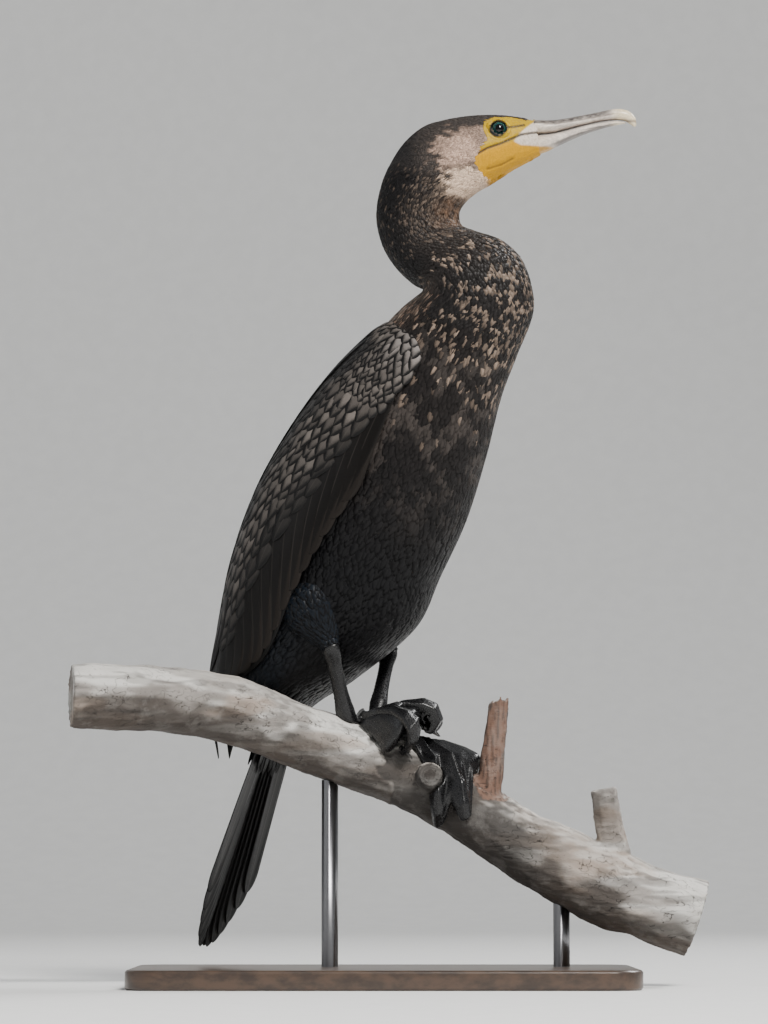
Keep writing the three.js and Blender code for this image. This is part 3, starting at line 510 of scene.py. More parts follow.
def markings(points, place, angle, draw):
    x, _, z = unplaced(points)
    cloud = waves(points, *markNoise["cloud"])
    fine = waves(points, *markNoise["fine"])
    slant = markNoise["streakSlant"]
    streak = waves(np.stack([x * slant[0] + z * slant[1], z, 0 * z], -1), *markNoise["streak"])
    edge = markEdge["fine"] * fine + markEdge["streak"] * streak * smooth(x, *markEdge["streakAt"])
    cheek = smooth(oval(x, z, paleOvals["cheek"]) + edge, *paleFades["cheek"])
    behindEye = smooth(oval(x, z, paleOvals["behindEye"]) + edge, *paleFades["behindEye"])
    dusk = duskLine["z"] + (x - duskLine["x"]) * duskLine["slope"] - duskLine["rough"] * fine
    measures = {
        "place": place, "around": np.degrees(np.abs(angle)), "x": x, "z": z, "blotch": cloud + 0.5 * fine,
        "frontMottle": 0.45 + 0.4 * fine, "napeEdge": x + 4 * fine,
        "cheek": np.maximum(cheek, behindEye * paleFades["behindEyeShare"]),
        "cheekStreaks": 0.86 + 0.14 * streak, "throatReach": oval(x, z, paleOvals["throat"]) + edge,
        "fromDuskLine": np.abs(z - dusk), "clouding": 0.5 + 0.8 * smooth(fine + cloud, -0.3, 0.5),
    }
    measures["head"] = faded(measures, [headStart])
    base = marked(plain(plumageColours["belly"], len(place)), plumageColours, measures, bodyMarks)
    chance = sum((least + more * faded(measures, [grows])) * faded(measures, fades)
                 for least, more, grows, fades in fleckChances)
    chance = np.clip(chance, 0, fleckForm["mostChance"])
    flecked = draw.random(len(place)) < chance
    faintest = fleckForm["faintest"]
    fleck = flecked * (faintest + (1 - faintest) * draw.random(len(place)))
    for thinned, fade in fleckThinning:
        fleck = fleck * (1 - thinned * faded(measures, [fade]))
    rufousChance = fleckForm["rufousChance"] * faded(measures, mantleFlecks)
    rufous = (draw.random(len(place)) < rufousChance) * draw.random(len(place)) * fleckForm["rufous"]
    return base, fleck, rufous


unwrapMargin = 0.01


def bodyUnwrap(spots):
    # a root's place on the skin: once round the bird across, tail to bill up
    turnShare = (spots["cross"] / (2 * math.pi)) % 1.0
    placeShare = spots["start"] / (len(birdRows) - 1)
    return unwrapMargin + np.stack([turnShare, placeShare], -1) * (1 - 2 * unwrapMargin)


tractForm = {"ringStep": 5, "probe": 0.02, "turnProbe": 0.01, "jitter": 0.25, "rowJitter": 0.3,
             "crowding": 1.5, "fewest": 0.12, "longest": 0.9, "rowShare": 0.8, "lengths": (0.85, 1.15),
             "lifts": (0.6, 1.3), "leastRound": 6}


def bodyTract(draw, tract, keep=None):
    # staggered rows of feather roots over a stretch of the bird's form
    t = tractForm
    starts, crosses, lengths = [], [], []
    place = tract["from"]
    row = 0
    ring = np.radians(np.arange(0, 360, t["ringStep"]))
    while place < tract["to"]:
        here = bodyGuide(np.full(ring.shape, place), ring, 0.0)
        ahead = bodyGuide(np.full(ring.shape, place + t["probe"]), ring, 0.0)
        local = np.linalg.norm(ahead - here, axis=-1) / t["probe"]
        around = np.linalg.norm(here - np.roll(here, 1, 0), axis=-1).sum()
        number = max(t["leastRound"], int(around / tract["width"]))
        stagger = 0.5 * (row % 2) + draw.uniform(-t["jitter"], t["jitter"], number)
        cross = (np.arange(number) + stagger) * 2 * math.pi / number
        step = np.interp(cross % (2 * math.pi), ring, local, period=2 * math.pi)
        likely = np.clip(step / local.max() * t["crowding"], t["fewest"], 1)
        chosen = draw.random(number) < likely
        shift = draw.uniform(-t["rowJitter"], t["rowJitter"], chosen.sum()) * tract["row"] / local.max()
        starts.append(place + shift)
        crosses.append(cross[chosen])
        lengths.append(np.minimum(tract["length"] / step[chosen], t["longest"]))
        place += tract["row"] / np.quantile(local, t["rowShare"])
        row += 1
    start, cross, length = map(np.concatenate, (starts, crosses, lengths))
    points = bodyGuide(start, cross, 0.0)
    if keep is not None:
        chosen = keep(start, cross, points)
        start, cross, length, points = start[chosen], cross[chosen], length[chosen], points[chosen]
    ahead = bodyGuide(start, cross + t["turnProbe"], 0.0)
    metric = np.linalg.norm(ahead - points, axis=-1) / t["turnProbe"]
    count = len(start)
    half = tract["width"] * tract["cover"] / 2 / metric
    return {
        "start": start, "end": start - length * draw.uniform(*t["lengths"], count), "cross": cross,
        "crossEnd": cross + draw.normal(0, tract["sway"], count) / metric,
        "half": half * draw.uniform(*t["lengths"], count),
        "lift": tract["lift"] * draw.uniform(*t["lifts"], count),
        "tilt": draw.normal(0, tract["tilt"], count), "random": draw.random(count), "points": points,
    }


def coatColours(spots, draw):
    c = plumageColours
    f = fleckForm
    angle = (spots["cross"] + math.pi) % (2 * math.pi) - math.pi
    base, fleck, rufous = markings(spots["points"], spots["start"], angle, draw)
    tint = blendColour(base, c["fleck"], fleck * f["tint"])
    rim = blendColour(base * f["rimShade"], c["fleck"], fleck * f["rim"])
    tint = blendColour(tint, c["rufous"], rufous * f["rufousTint"])
    rim = blendColour(rim, c["rufous"], rufous)
    return {"tint": withAlpha(tint), "rim": withAlpha(rim)}


# Shape of one feather: rows and columns of its mesh, outline, rise off the skin, and thickness in millimetres
tuftShape = {"rows": 4, "columns": 3, "root": 0.6, "full": 0.45, "point": 0.8, "tipRows": 1.5,
             "rise": [0.2, 0.7, 1.0, 0.8], "sink": 1.1, "camber": 0.14, "thickness": 0.14}
fineShape = {"rows": 3, "columns": 3, "root": 0.7, "full": 0.4, "point": 1.0, "tipRows": 1.2,
             "rise": [0.2, 0.8, 1.0], "sink": 0.8, "camber": 0.12, "thickness": 0.2}
# Stretches of coat: from and to along the bird, then millimetres
bellyTract = {"from": 0.2, "to": 5.6, "row": 4.0, "width": 3.8, "cover": 1.8, "length": 14.0, "lift": 0.2,
              "sway": 1.2, "tilt": 0.04}
breastTract = {"from": 5.2, "to": 8.7, "row": 3.1, "width": 2.8, "cover": 1.8, "length": 11.0,
               "lift": 0.2, "sway": 1.0, "tilt": 0.06}
lowerNeckTract = {"from": 8.4, "to": 13.0, "row": 2.7, "width": 2.7, "cover": 1.7, "length": 8.5,
                  "lift": 0.3, "sway": 0.5, "tilt": 0.08}
upperNeckTract = {"from": 12.8, "to": 17.2, "row": 2.0, "width": 1.9, "cover": 1.6, "length": 6.5,
                  "lift": 0.3, "sway": 0.35, "tilt": 0.08}
headTract = {"from": 16.9, "to": 24.5, "row": 1.45, "width": 1.4, "cover": 1.6, "length": 4.6,
             "lift": 0.25, "sway": 0.2, "tilt": 0.06}

coatSeed = 20
draw = np.random.default_rng(coatSeed)
# The folded wings hide the trunk's flanks here
wingShadow = {"from": 0.8, "to": 6.8, "upper": 26, "lower": 84}


def underWing(place, cross, points):
    around = np.degrees(np.abs((cross + math.pi) % (2 * math.pi) - math.pi))
    hidden = (place > wingShadow["from"]) & (place < wingShadow["to"])
    return ~(hidden & (around > wingShadow["upper"]) & (around < wingShadow["lower"]))


# Bare skin of the face in the head's own plane: x, z of its outline
faceOutline = [(79, 617.5), (85, 622.2), (98, 622.6), (107, 620.4), (114, 618.2), (117, 612), (117.5, 596),
               (108, 590.5), (97, 584.6), (88, 580.2), (81.5, 578), (77, 582.5), (73.4, 588.5), (74.6, 595),
               (79.5, 601), (83, 604.5), (79.6, 609.5)]


def insideOutline(x, z, outline):
    inside = np.zeros(x.shape, bool)
    for (x0, z0), (x1, z1) in zip(outline, outline[1:] + outline[:1]):
        crosses = (z0 > z) != (z1 > z)
        at = x0 + (z - z0) * (x1 - x0) / (z1 - z0 if z1 != z0 else 1e-9)
        inside ^= crosses & (x < at)
    return inside


def feathered(place, cross, points):
    x, _, z = unplaced(points)
    return ~insideOutline(x, z, faceOutline)


def addCoat(name, tract, shape, material, keep=None):
    spots = bodyTract(draw, tract, keep)
    piece = layFeathers(name, bodyGuide, spots, shape, coatColours(spots, draw), bodyUnwrap)
    piece.data.materials.append(material)
    print(name, len(spots["start"]), "feathers", len(piece.data.polygons) * 2, "triangles")
    return piece


# Name, roughness, rim start, shaft, barbs, sheen, specular level
bodyFeather = featherMaterial("bodyFeather", 0.34, 0.6, 0.0, 14.0, 0.0, 0.13)
neckFeather = featherMaterial("neckFeather", 0.42, 0.6, 0.0, 9.0, 0.0, 0.22)
headFeather = featherMaterial("headFeather", 0.6, 0.7, 0.0, 6.0, 0.02, 0.3)
trunkCoat = addCoat("trunkCoat", bellyTract, tuftShape, bodyFeather, underWing)
breastCoat = addCoat("breastCoat", breastTract, tuftShape, bodyFeather, underWing)
lowerNeckCoat = addCoat("lowerNeckCoat", lowerNeckTract, fineShape, neckFeather)
upperNeckCoat = addCoat("upperNeckCoat", upperNeckTract, fineShape, neckFeather)
headCoat = addCoat("headCoat", headTract, fineShape, headFeather, feathered)


# The wings: bed, coverts, scapulars and long feathers
wingColours = {"covert": (0.072, 0.062, 0.055), "covertPale": (0.150, 0.130, 0.115),
               "covertWarm": (0.11, 0.078, 0.056), "rim": (0.003, 0.0027, 0.0027),
               "flight": (0.0055, 0.0047, 0.0043), "flightRim": (0.011, 0.0085, 0.007),
               "shoulder": (0.20, 0.178, 0.165), "bed": (0.004, 0.004, 0.004),
               "dorsal": (0.0065, 0.006, 0.0068)}
# Rows of roots from one place to another along the wing, and across it; then millimetres
coverTracts = {
    "lesser": {"from": -0.15, "to": 2.0, "row": 5.2, "low": 0.0, "high": 0.98, "highEnd": 0.88, "width": 5.6,
               "length": 13.0, "turn": 0.03, "lift": 0.6},
    "median": {"from": 1.85, "to": 3.8, "row": 9.0, "low": 0.0, "high": 0.86, "highEnd": 0.76, "width": 7.8,
               "length": 23.0, "turn": 0.0, "lift": 0.85},
    "greater": {"from": 3.6, "to": 6.0, "row": 11.5, "low": 0.0, "high": 0.76, "highEnd": 0.6, "width": 9.0,
                "length": 29.0, "turn": 0.0, "lift": 1.1},
}
covertShape = {"rows": 9, "columns": 5, "root": 0.6, "full": 0.5, "point": 0.62, "tipRows": 1.7,
               "rise": [0.1, 0.5, 0.8, 1.0, 1.0], "sink": 1.2, "camber": 0.25, "thickness": 0.25}
flightShape = {"rows": 18, "columns": 7, "root": 0.6, "full": 0.8, "point": 0.5, "tipRows": 1.5,
               "rise": [0.2, 0.6, 0.9, 1.0, 1.0, 1.0], "sink": 1.2, "camber": 0.35, "thickness": 0.4}
covertForm = {"fewest": 3, "inset": 0.25, "rowJitter": 0.018, "jitter": 0.006, "cover": 1.45,
              "lengths": (0.92, 1.08), "widths": (0.93, 1.07), "lifts": (0.85, 1.15), "tilt": 0.12}
measureSteps = {"along": (0.02, 0.0), "across": (0.0, 0.01)}


def stride(guide, place, cross, way):
    # millimetres on the guide for one unit of place or of cross
    step = measureSteps[way]
    ahead = guide(place + step[0], cross + step[1], 0.0)
    return np.linalg.norm(ahead - guide(place, cross, 0.0), axis=-1) / max(step)


def wingSpots(side, tract, draw):
    form = covertForm
    guide = wingGuide(side)
    starts, crosses = [], []
    place = tract["from"]
    row = 0
    middle = np.array([0.5])
    while place < tract["to"]:
        width = float(stride(guide, np.array([place]), middle, "across")[0])
        high = np.interp(place, [tract["from"], tract["to"]], [tract["high"], tract["highEnd"]])
        number = max(form["fewest"], int(round((high - tract["low"]) * width / tract["width"])))
        order = np.arange(number) + 0.5 * (row % 2) + form["inset"]
        cross = tract["low"] + order / number * (high - tract["low"])
        starts.append(np.full(number, place) + draw.normal(0, form["rowJitter"], number))
        crosses.append(cross + draw.normal(0, form["jitter"], number))
        place += tract["row"] / float(stride(guide, np.array([place]), middle, "along")[0])
        row += 1
    start, cross = np.concatenate(starts), np.concatenate(crosses)
    count = len(start)
    reach = tract["length"] / stride(guide, start, cross, "along")
    half = tract["width"] * form["cover"] / 2 / stride(guide, start, cross, "across")
    return {
        "start": start, "end": start + reach * draw.uniform(*form["lengths"], count), "cross": cross,
        "crossEnd": cross + tract["turn"] + draw.normal(0, form["jitter"], count),
        "half": half * draw.uniform(*form["widths"], count),
        "lift": tract["lift"] * draw.uniform(*form["lifts"], count),
        "tilt": draw.normal(0, form["tilt"], count),
        "random": draw.random(count), "mirrored": side < 0,
    }


# Marks of the coverts: place along the wing, cross from its upper edge 0 to its lower edge 1
covertMarks = [
    ("covertPale", 0.8, ["pale"]),
    ("covertWarm", 0.6, ["warm", ("cross", 0.5, 0.05)]),
    ("shoulder", 0.8, [("place", 1.6, 0.4), ("cross", 0.3, 0.6)]),
    ("dorsal", 0.9, [("dorsalEdge", 0.46, 0.3), ("place", 5.2, 3.8), ("place", 0.5, 1.2)]),
    ("flight", 0.85, [("fromFront", -0.05, 0.1), ("place", 1.4, 2.2)]),
]
wingFront = {"place": [1.5, 3.8, 6], "cross": [0.83, 0.6, 0.48], "dorsalRough": 0.03}


def wingCovertColours(spots, draw):
    place, cross = spots["start"], spots["cross"]
    count = len(place)
    measures = {
        "place": place, "cross": cross, "pale": draw.random(count) ** 2, "warm": draw.random(count),
        "dorsalEdge": cross + wingFront["dorsalRough"] * draw.normal(0, 1, count),
        "fromFront": cross - np.interp(place, wingFront["place"], wingFront["cross"]),
    }
    base = marked(plain(wingColours["covert"], count), wingColours, measures, covertMarks)
    return {"tint": withAlpha(base), "rim": withAlpha(plain(wingColours["rim"], count))}


wingPatch = {"across": 0.45, "margin": 0.03, "least": 0.005, "most": 0.49, "otherSide": 0.5, "along": 9.5,
             "alongMargin": 0.04, "alongShare": 0.92, "alongLimits": (0.01, 0.98)}


def wingUnwrap(side):
    p = wingPatch

    def unwrap(spots):
        share = np.clip(spots["cross"] * p["across"] + p["margin"], p["least"], p["most"])
        share = share + (p["otherSide"] if side > 0 else 0)
        along = p["alongMargin"] + spots["start"] / p["along"] * p["alongShare"]
        return np.stack([share, np.clip(along, *p["alongLimits"])], -1)
    return unwrap


longTilt = 0.25


def longFeathers(side, feathers, draw):
    # each feather: start place, start cross, end place, end cross, width in millimetres, lift
    table = np.array(feathers, float)
    guide = wingGuide(side)
    middle = (table[:, 0] + table[:, 2]) / 2
    metric = stride(guide, middle, (table[:, 1] + table[:, 3]) / 2, "across")
    count = len(table)
    return {"start": table[:, 0], "end": table[:, 2], "cross": table[:, 1], "crossEnd": table[:, 3],
            "half": table[:, 4] / 2 / metric, "lift": table[:, 5], "tilt": np.full(count, longTilt),
            "random": draw.random(count), "mirrored": side < 0}


def rowOf(number, first, last):
    first, last = np.array(first, float), np.array(last, float)
    return [list(first + (last - first) * i / max(1, number - 1)) for i in range(number)]


longTiers = {
    "secondaries": rowOf(14, (1.3, 0.86, 3.4, 0.99, 17, 0.3), (5.6, 0.35, 7.5, 0.9, 22, 0.9)),
    "tertials": rowOf(5, (4.6, 0.34, 6.9, 0.42, 22, 1.2), (5.4, 0.02, 7.6, 0.12, 22, 2.0)),
    "primaries": rowOf(9, (5.2, 0.66, 8.1, 0.78, 17, 0.2), (6.2, 0.12, 9.2, 0.4, 15, 1.4)),
    "scapulars": (rowOf(7, (0.6, -0.03, 1.9, 0.0, 15, 1.6), (4.4, -0.05, 5.9, 0.0, 20, 2.2))
                  + rowOf(7, (0.9, 0.08, 2.2, 0.12, 15, 1.6), (4.7, 0.07, 6.2, 0.12, 20, 2.2))),
}
covertFeather = featherMaterial("covertFeather", 0.45, 0.5, 0.12, 20.0, sheen=0.0, specular=0.25)
flightFeather = featherMaterial("flightFeather", 0.36, 0.88, 0.1, 60.0, sheen=0.0, specular=0.15)
# Tint, rim and material of each tier
longLooks = {"secondaries": ("flight", "flightRim", flightFeather),
             "tertials": ("flightRim", "rim", covertFeather),
             "primaries": ("flight", "flightRim", flightFeather),
             "scapulars": ("dorsal", "rim", covertFeather)}


def flightColours(spots, tint, rim):
    count = len(spots["start"])
    return {"tint": withAlpha(plain(tint, count)), "rim": withAlpha(plain(rim, count))}


bedForm = {"vane": (0.0, 0.3, 0.5), "bakeShare": 0.98, "bakeMargin": 0.01}
wingBed = {"from": -0.1, "to": 8.6, "rows": 60, "low": 0.02, "high": 0.97, "columns": 18, "lift": -2.2,
           "thickness": 2.2}
tailBedForm = {"from": -0.1, "to": 0.16, "rows": 12, "low": -14, "high": 14, "columns": 9, "lift": 5.0,
               "thickness": 5.0}


def bedSlab(name, guide, bed, colour, material, mirrored=False):
    # a closed slab under the long feathers
    places = np.linspace(bed["from"], bed["to"], bed["rows"])
    crosses = np.linspace(bed["low"], bed["high"], bed["columns"])
    p, c = np.meshgrid(places, crosses, indexing="ij")
    upper = guide(p, c, bed["lift"])
    lower = guide(p, c, bed["lift"] - bed["thickness"])
    faces = vaneFaces(len(places), len(crosses))
    faces = faces[:, ::-1] if mirrored else faces
    points = np.concatenate([upper.reshape(-1, 3), lower.reshape(-1, 3)])
    tint = withAlpha(plain(colour, len(points)))
    share = np.stack([(c - crosses[0]) / (crosses[-1] - crosses[0]),
                      (p - places[0]) / (places[-1] - places[0])], -1)
    uv = np.concatenate([share.reshape(-1, 2)] * 2) * bedForm["bakeShare"] + bedForm["bakeMargin"]
    values = {"vane": plain(bedForm["vane"], len(points)), "tint": tint, "rim": tint}
    piece = meshPiece(name, points, faces, values, uv)
    piece.data.materials.append(material)
    return piece


def addWing(side, label):
    guide = wingGuide(side)
    pieces = [bedSlab("wingBed" + label, guide, wingBed, wingColours["bed"], bodyFeather, side < 0)]
    for key, tract in coverTracts.items():
        spots = wingSpots(side, tract, draw)
        colours = wingCovertColours(spots, draw)
        piece = layFeathers(key + "Coverts" + label, guide, spots, covertShape, colours, wingUnwrap(side))
        piece.data.materials.append(covertFeather)
        pieces.append(piece)
    for key, feathers in longTiers.items():
        spots = longFeathers(side, feathers, draw)
        tint, rim, material = longLooks[key]
        colours = flightColours(spots, wingColours[tint], wingColours[rim])
        piece = layFeathers(key + label, guide, spots, flightShape, colours, wingUnwrap(side))
        piece.data.materials.append(material)
        pieces.append(piece)
    return pieces


wingPieces = {"Left": addWing(1, "Left"), "Right": addWing(-1, "Right")}
print("wings feathered")

# The thighs, with short feathers down to the heel joint: share of its length, depth and width
thighRows = [(0, 34, 24), (0.15, 54, 38), (0.38, 60, 44), (0.6, 50, 38), (0.78, 32, 25), (0.92, 18, 14),
             (1, 13, 10)]
thighTop = (-50.0, 34.0, 294.0)
thighKnee = (-20.0, 42.0, 242.0)
thighTract = {"from": 0.02, "to": 0.97, "rows": 22, "width": 4.0, "length": 13.0, "span": 60.5,
              "probe": 40, "fewest": 8, "jitter": 0.03, "lengths": (0.8, 1.2), "shorter": 0.6,
              "end": 1.04, "half": 3.4, "lift": 0.4, "tilt": 0.08}
thighPatch = {"across": 0.47, "left": 0.51, "right": 0.01, "along": 0.06, "alongMargin": 0.02}


def limbPoint(top, end, share, angle, depth, width):
    # on a limb that runs from top to end: depth is forward, width across
    axis = (end - top) / np.linalg.norm(end - top)
    forward = np.cross((0, 1, 0), axis)
    forward /= np.linalg.norm(forward)
    across = np.cross(axis, forward)
    return (top + (end - top) * share[..., None] + forward * (np.cos(angle) * depth)[..., None]
            + across * (np.sin(angle) * width)[..., None])


def thighGuide(side):
    top, knee = np.array(thighTop) * (1, side, 1), np.array(thighKnee) * (1, side, 1)
    table = np.array(thighRows, float)

    def guide(place, cross, lift):
        place, cross, lift = np.broadcast_arrays(np.asarray(place, float), cross, lift)
        depth, width = (np.interp(place, table[:, 0], table[:, k]) / 2 for k in (1, 2))
        return limbPoint(top, knee, place, cross, depth + lift, width + lift)
    return guide


def thighSpots(side, draw):
    guide = thighGuide(side)
    t = thighTract
    starts, crosses = [], []
    for row, place in enumerate(np.linspace(t["from"], t["to"], t["rows"])):
        ring = guide(place, np.linspace(0, 2 * math.pi, t["probe"]), 0.0)
        number = max(t["fewest"], int(np.linalg.norm(np.diff(ring, axis=0), axis=1).sum() / t["width"]))
        cross = (np.arange(number) + 0.5 * (row % 2)) * 2 * math.pi / number
        starts.append(np.full(number, place))
        crosses.append(cross + draw.normal(0, t["jitter"], number))
    start, cross = np.concatenate(starts), np.concatenate(crosses)
    count = len(start)
    length = t["length"] / t["span"] * draw.uniform(*t["lengths"], count)
    length = length * (1 - t["shorter"] * smooth(start, 0.5, 1.0))
    return {"start": start, "end": np.minimum(start + length, t["end"]), "cross": cross, "crossEnd": cross,
            "half": t["half"] / stride(guide, start, cross, "across"), "lift": np.full(count, t["lift"]),
            "tilt": draw.normal(0, t["tilt"], count), "random": draw.random(count)}


def thighUnwrap(side):
    p = thighPatch

    def unwrap(spots):
        share = (spots["cross"] / (2 * math.pi)) % 1.0 * p["across"] + (p["left"] if side > 0 else p["right"])
        return np.stack([share, p["alongMargin"] + spots["start"] * p["along"]], -1)
    return unwrap


thighCoats = []
for side, label in ((1, "Left"), (-1, "Right")):
    spots = thighSpots(side, draw)
    # the thighs take the flanks' bluish tint, a painted sheen
    colours = flightColours(spots, plumageColours["flank"], plumageColours["belly"])
    thighCoats.append(layFeathers("thighCoat" + label, thighGuide(side), spots, tuftShape, colours,
                                  thighUnwrap(side)))
    thighCoats[-1].data.materials.append(bodyFeather)

# The tail: fourteen stiff feathers over a short bed
tailColours = {"vane": (0.0085, 0.008, 0.008), "rim": (0.004, 0.004, 0.004)}
tailFeathers = {"count": 14, "rootSpread": 13.0, "tipSpread": 25.5, "width": 15.5, "shortest": 0.76,
                "roofLift": 5.0, "start": -0.06, "rounding": 2.2, "endJitter": 0.006, "tipJitter": 0.5,
                "lift": 0.6, "tilt": 0.5}
tailShape = {"rows": 34, "columns": 9, "root": 0.6, "full": 0.88, "point": 0.55, "tipRows": 1.6,
             "rise": [0.6, 1.0, 1.0, 1.0], "sink": 0.0, "camber": 0.5, "thickness": 0.5, "patch": 0.03}
tailPatch = {"middle": 0.5, "across": 40, "along": 0.1}


def tailSpots(draw):
    t = tailFeathers
    count = t["count"]
    order = np.linspace(-1, 1, count)
    outer = np.abs(order)
    end = 1.0 - (1 - t["shortest"]) * outer ** t["rounding"] + draw.normal(0, t["endJitter"], count)
    return {"start": np.full(count, t["start"]), "end": end, "cross": order * t["rootSpread"],
            "crossEnd": order * t["tipSpread"] + draw.normal(0, t["tipJitter"], count),
            "half": np.full(count, t["width"] / 2), "lift": t["roofLift"] * (1 - outer) + t["lift"],
            "tilt": order * t["tilt"], "random": draw.random(count)}


def tailUnwrap(spots):
    across = tailPatch["middle"] + spots["cross"] / tailPatch["across"]
    return np.stack([across, np.full(across.shape, tailPatch["along"])], -1)


tailFeather = featherMaterial("tailFeather", 0.3, 0.8, 0.2, 90.0, sheen=0.0, specular=0.2)
spots = tailSpots(draw)
colours = flightColours(spots, tailColours["vane"], tailColours["rim"])
tailVanes = layFeathers("tailFeathers", tailGuide, spots, tailShape, colours, tailUnwrap)
tailVanes.data.materials.append(tailFeather)
tailBed = bedSlab("tailBed", tailGuide, tailBedForm, tailColours["rim"], bodyFeather)
tailCovertForm = {"rows": 10, "columns": 9, "from": -0.16, "to": 0.12, "length": 0.13,
                  "lengths": (0.8, 1.2), "jitter": 0.06, "spread": 13, "wider": 14, "opening": 1.5,
                  "roof": 1.5, "half": 3.4, "liftJitter": 0.2,
                  "lifts": {"upperTailCoverts": 6.2, "underTailCoverts": -1.6}}
tailCovertShape = dict(covertShape, sink=0.0, rise=[1.0, 1.0])


def tailCovertSpots(draw, name):
    t = tailCovertForm
    row = np.repeat(np.linspace(t["from"], t["to"], t["rows"]), t["columns"])
    order = np.tile(np.linspace(-1, 1, t["columns"]), t["rows"])
    count = len(row)
    order = order + draw.normal(0, t["jitter"], count)
    spread = t["spread"] + t["wider"] * np.clip(row, 0, 1)
    lift = t["lifts"][name] + (name == "upperTailCoverts") * (1 - np.abs(order)) * t["roof"]
    return {"start": row, "end": row + t["length"] * draw.uniform(*t["lengths"], count),
            "cross": order * spread, "crossEnd": order * (spread + t["opening"]),
            "half": np.full(count, t["half"]),
            "lift": lift + draw.normal(0, t["liftJitter"], count), "tilt": np.zeros(count),
            "random": draw.random(count)}


tailCoverts = []
for name in tailCovertForm["lifts"]:
    spots = tailCovertSpots(draw, name)
    colours = flightColours(spots, plumageColours["belly"], wingColours["rim"])
    tailCoverts.append(layFeathers(name, tailGuide, spots, tailCovertShape, colours, tailUnwrap))
    tailCoverts[-1].data.materials.append(bodyFeather)
print("tail feathered")


# Work on copies of the CAD nodes: merged, remeshed finely and smoothed
def onlySelect(*objects):
    bpy.ops.object.select_all(action="DESELECT")
    for item in objects:
        item.select_set(True)
    bpy.context.view_layer.objects.active = objects[0]


def modify(piece, kind, **settings):
    onlySelect(piece)
    bpy.ops.object.modifier_add(type=kind)
    modifier = piece.modifiers[-1]
    for key, value in settings.items():
        setattr(modifier, key, value)
    bpy.ops.object.modifier_apply(modifier=modifier.name)


def inEdit(piece, *steps):
    onlySelect(piece)
    bpy.ops.object.mode_set(mode="EDIT")
    bpy.ops.mesh.select_all(action="SELECT")
    for step, settings in steps:
        step(**settings)
    bpy.ops.object.mode_set(mode="OBJECT")


def copyOf(name, *nodes):
    copies = []
    for node in nodes:
        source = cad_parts[node]
        copy = source.copy()
        copy.data = source.data.copy()
        for key in list(copy.keys()):
            del copy[key]
        copy.parent = None
        bpy.context.scene.collection.objects.link(copy)
        copies.append(copy)
    onlySelect(*copies)
    if len(copies) > 1:
        bpy.ops.object.join()
    piece = bpy.context.view_layer.objects.active
    piece.name = name
    piece.data.name = name
    inEdit(piece, (bpy.ops.mesh.remove_doubles, {"threshold": 0.00001}))
    piece.data.materials.clear()
    for layer in list(piece.data.uv_layers):
        piece.data.uv_layers.remove(layer)
    return piece


def coordinates(piece):
    values = np.empty(len(piece.data.vertices) * 3, np.float32)
    piece.data.vertices.foreach_get("co", values)
    return values.reshape(-1, 3).astype(float) / mm


def normals(piece):
    values = np.empty(len(piece.data.vertices) * 3, np.float32)
    piece.data.vertices.foreach_get("normal", values)
    return values.reshape(-1, 3).astype(float)


def moveTo(piece, points):
    piece.data.vertices.foreach_set("co", (points * mm).astype(np.float32).ravel())
    piece.data.update()


def paint(piece, name, colours):
    layer = piece.data.attributes.new(name, "FLOAT_COLOR", "POINT")
    layer.data.foreach_set("color", withAlpha(colours).astype(np.float32).ravel())


def remeshed(piece, voxel, smoothing, shrink=0.0):
    modify(piece, "REMESH", mode="VOXEL", voxel_size=voxel * mm, use_smooth_shade=True)
    modify(piece, "SMOOTH", factor=0.5, iterations=smoothing)
    if shrink:
        moveTo(piece, coordinates(piece) - normals(piece) * shrink)
    onlySelect(piece)
    bpy.ops.object.shade_smooth()
    return piece


skinGrid = {"end": 25.01, "step": 0.06, "turn": 4.0}


def bodyPlaces(points):
    # the place along the bird and the angle round it of each point, by the nearest point of its form
    places = np.arange(0, skinGrid["end"], skinGrid["step"])
    angles = np.radians(np.arange(-180, 180, skinGrid["turn"]))
    p, a = np.meshgrid(places, angles, indexing="ij")
    grid = sectionPoint(birdRows, p, a, 0.0).reshape(-1, 3)
    tree = KDTree(len(grid))
    for i, point in enumerate(grid):
        tree.insert(point, i)
    tree.balance()
    nearest = np.array([tree.find(point)[1] for point in points])
    return p.ravel()[nearest], a.ravel()[nearest]


# The skin under all the feathers, one piece
eyeForm = {"x": 88.0, "z": 612.4, "across": 13.5, "radius": 5.6, "socket": (11, 8), "socketDepth": 0.65}
skinSetup = {"voxel": 2.0, "smoothing": 8, "shrink": 2.0, "thighSide": (33, 40), "thighEdge": (2, -2),
             "seed": 3}
skin = copyOf("skin", "torso", "neck_lower", "neck_upper", "head", "thigh_left", "thigh_right")
remeshed(skin, skinSetup["voxel"], skinSetup["smoothing"], shrink=skinSetup["shrink"])
points = coordinates(skin)
skinPlace, skinAngle = bodyPlaces(points)
shift = sectionPoint(coatRows, skinPlace, skinAngle, 0.0) - sectionPoint(birdRows, skinPlace, skinAngle, 0.0)
folded = np.abs(points) * (0, 1, 0) + points * (1, 0, 1)
alongThigh = np.array(thighKnee) - np.array(thighTop)
thighShare = np.clip((folded - thighTop) @ alongThigh / (alongThigh @ alongThigh), 0, 1)
fromThigh = np.linalg.norm(folded - thighTop - thighShare[:, None] * alongThigh, axis=1)
thighTable = np.array(thighRows, float)
thighRadius = np.interp(thighShare, thighTable[:, 0], thighTable[:, 1:].mean(1) / 2)
onThigh = smooth(folded[:, 1], *skinSetup["thighSide"])
onThigh = onThigh * smooth(fromThigh - thighRadius, *skinSetup["thighEdge"])
points = points + shift * (1 - onThigh)[:, None]
x, y, z = unplaced(points)
socket = smooth(np.hypot(x - eyeForm["x"], z - eyeForm["z"]), *eyeForm["socket"])      # room for the eyes
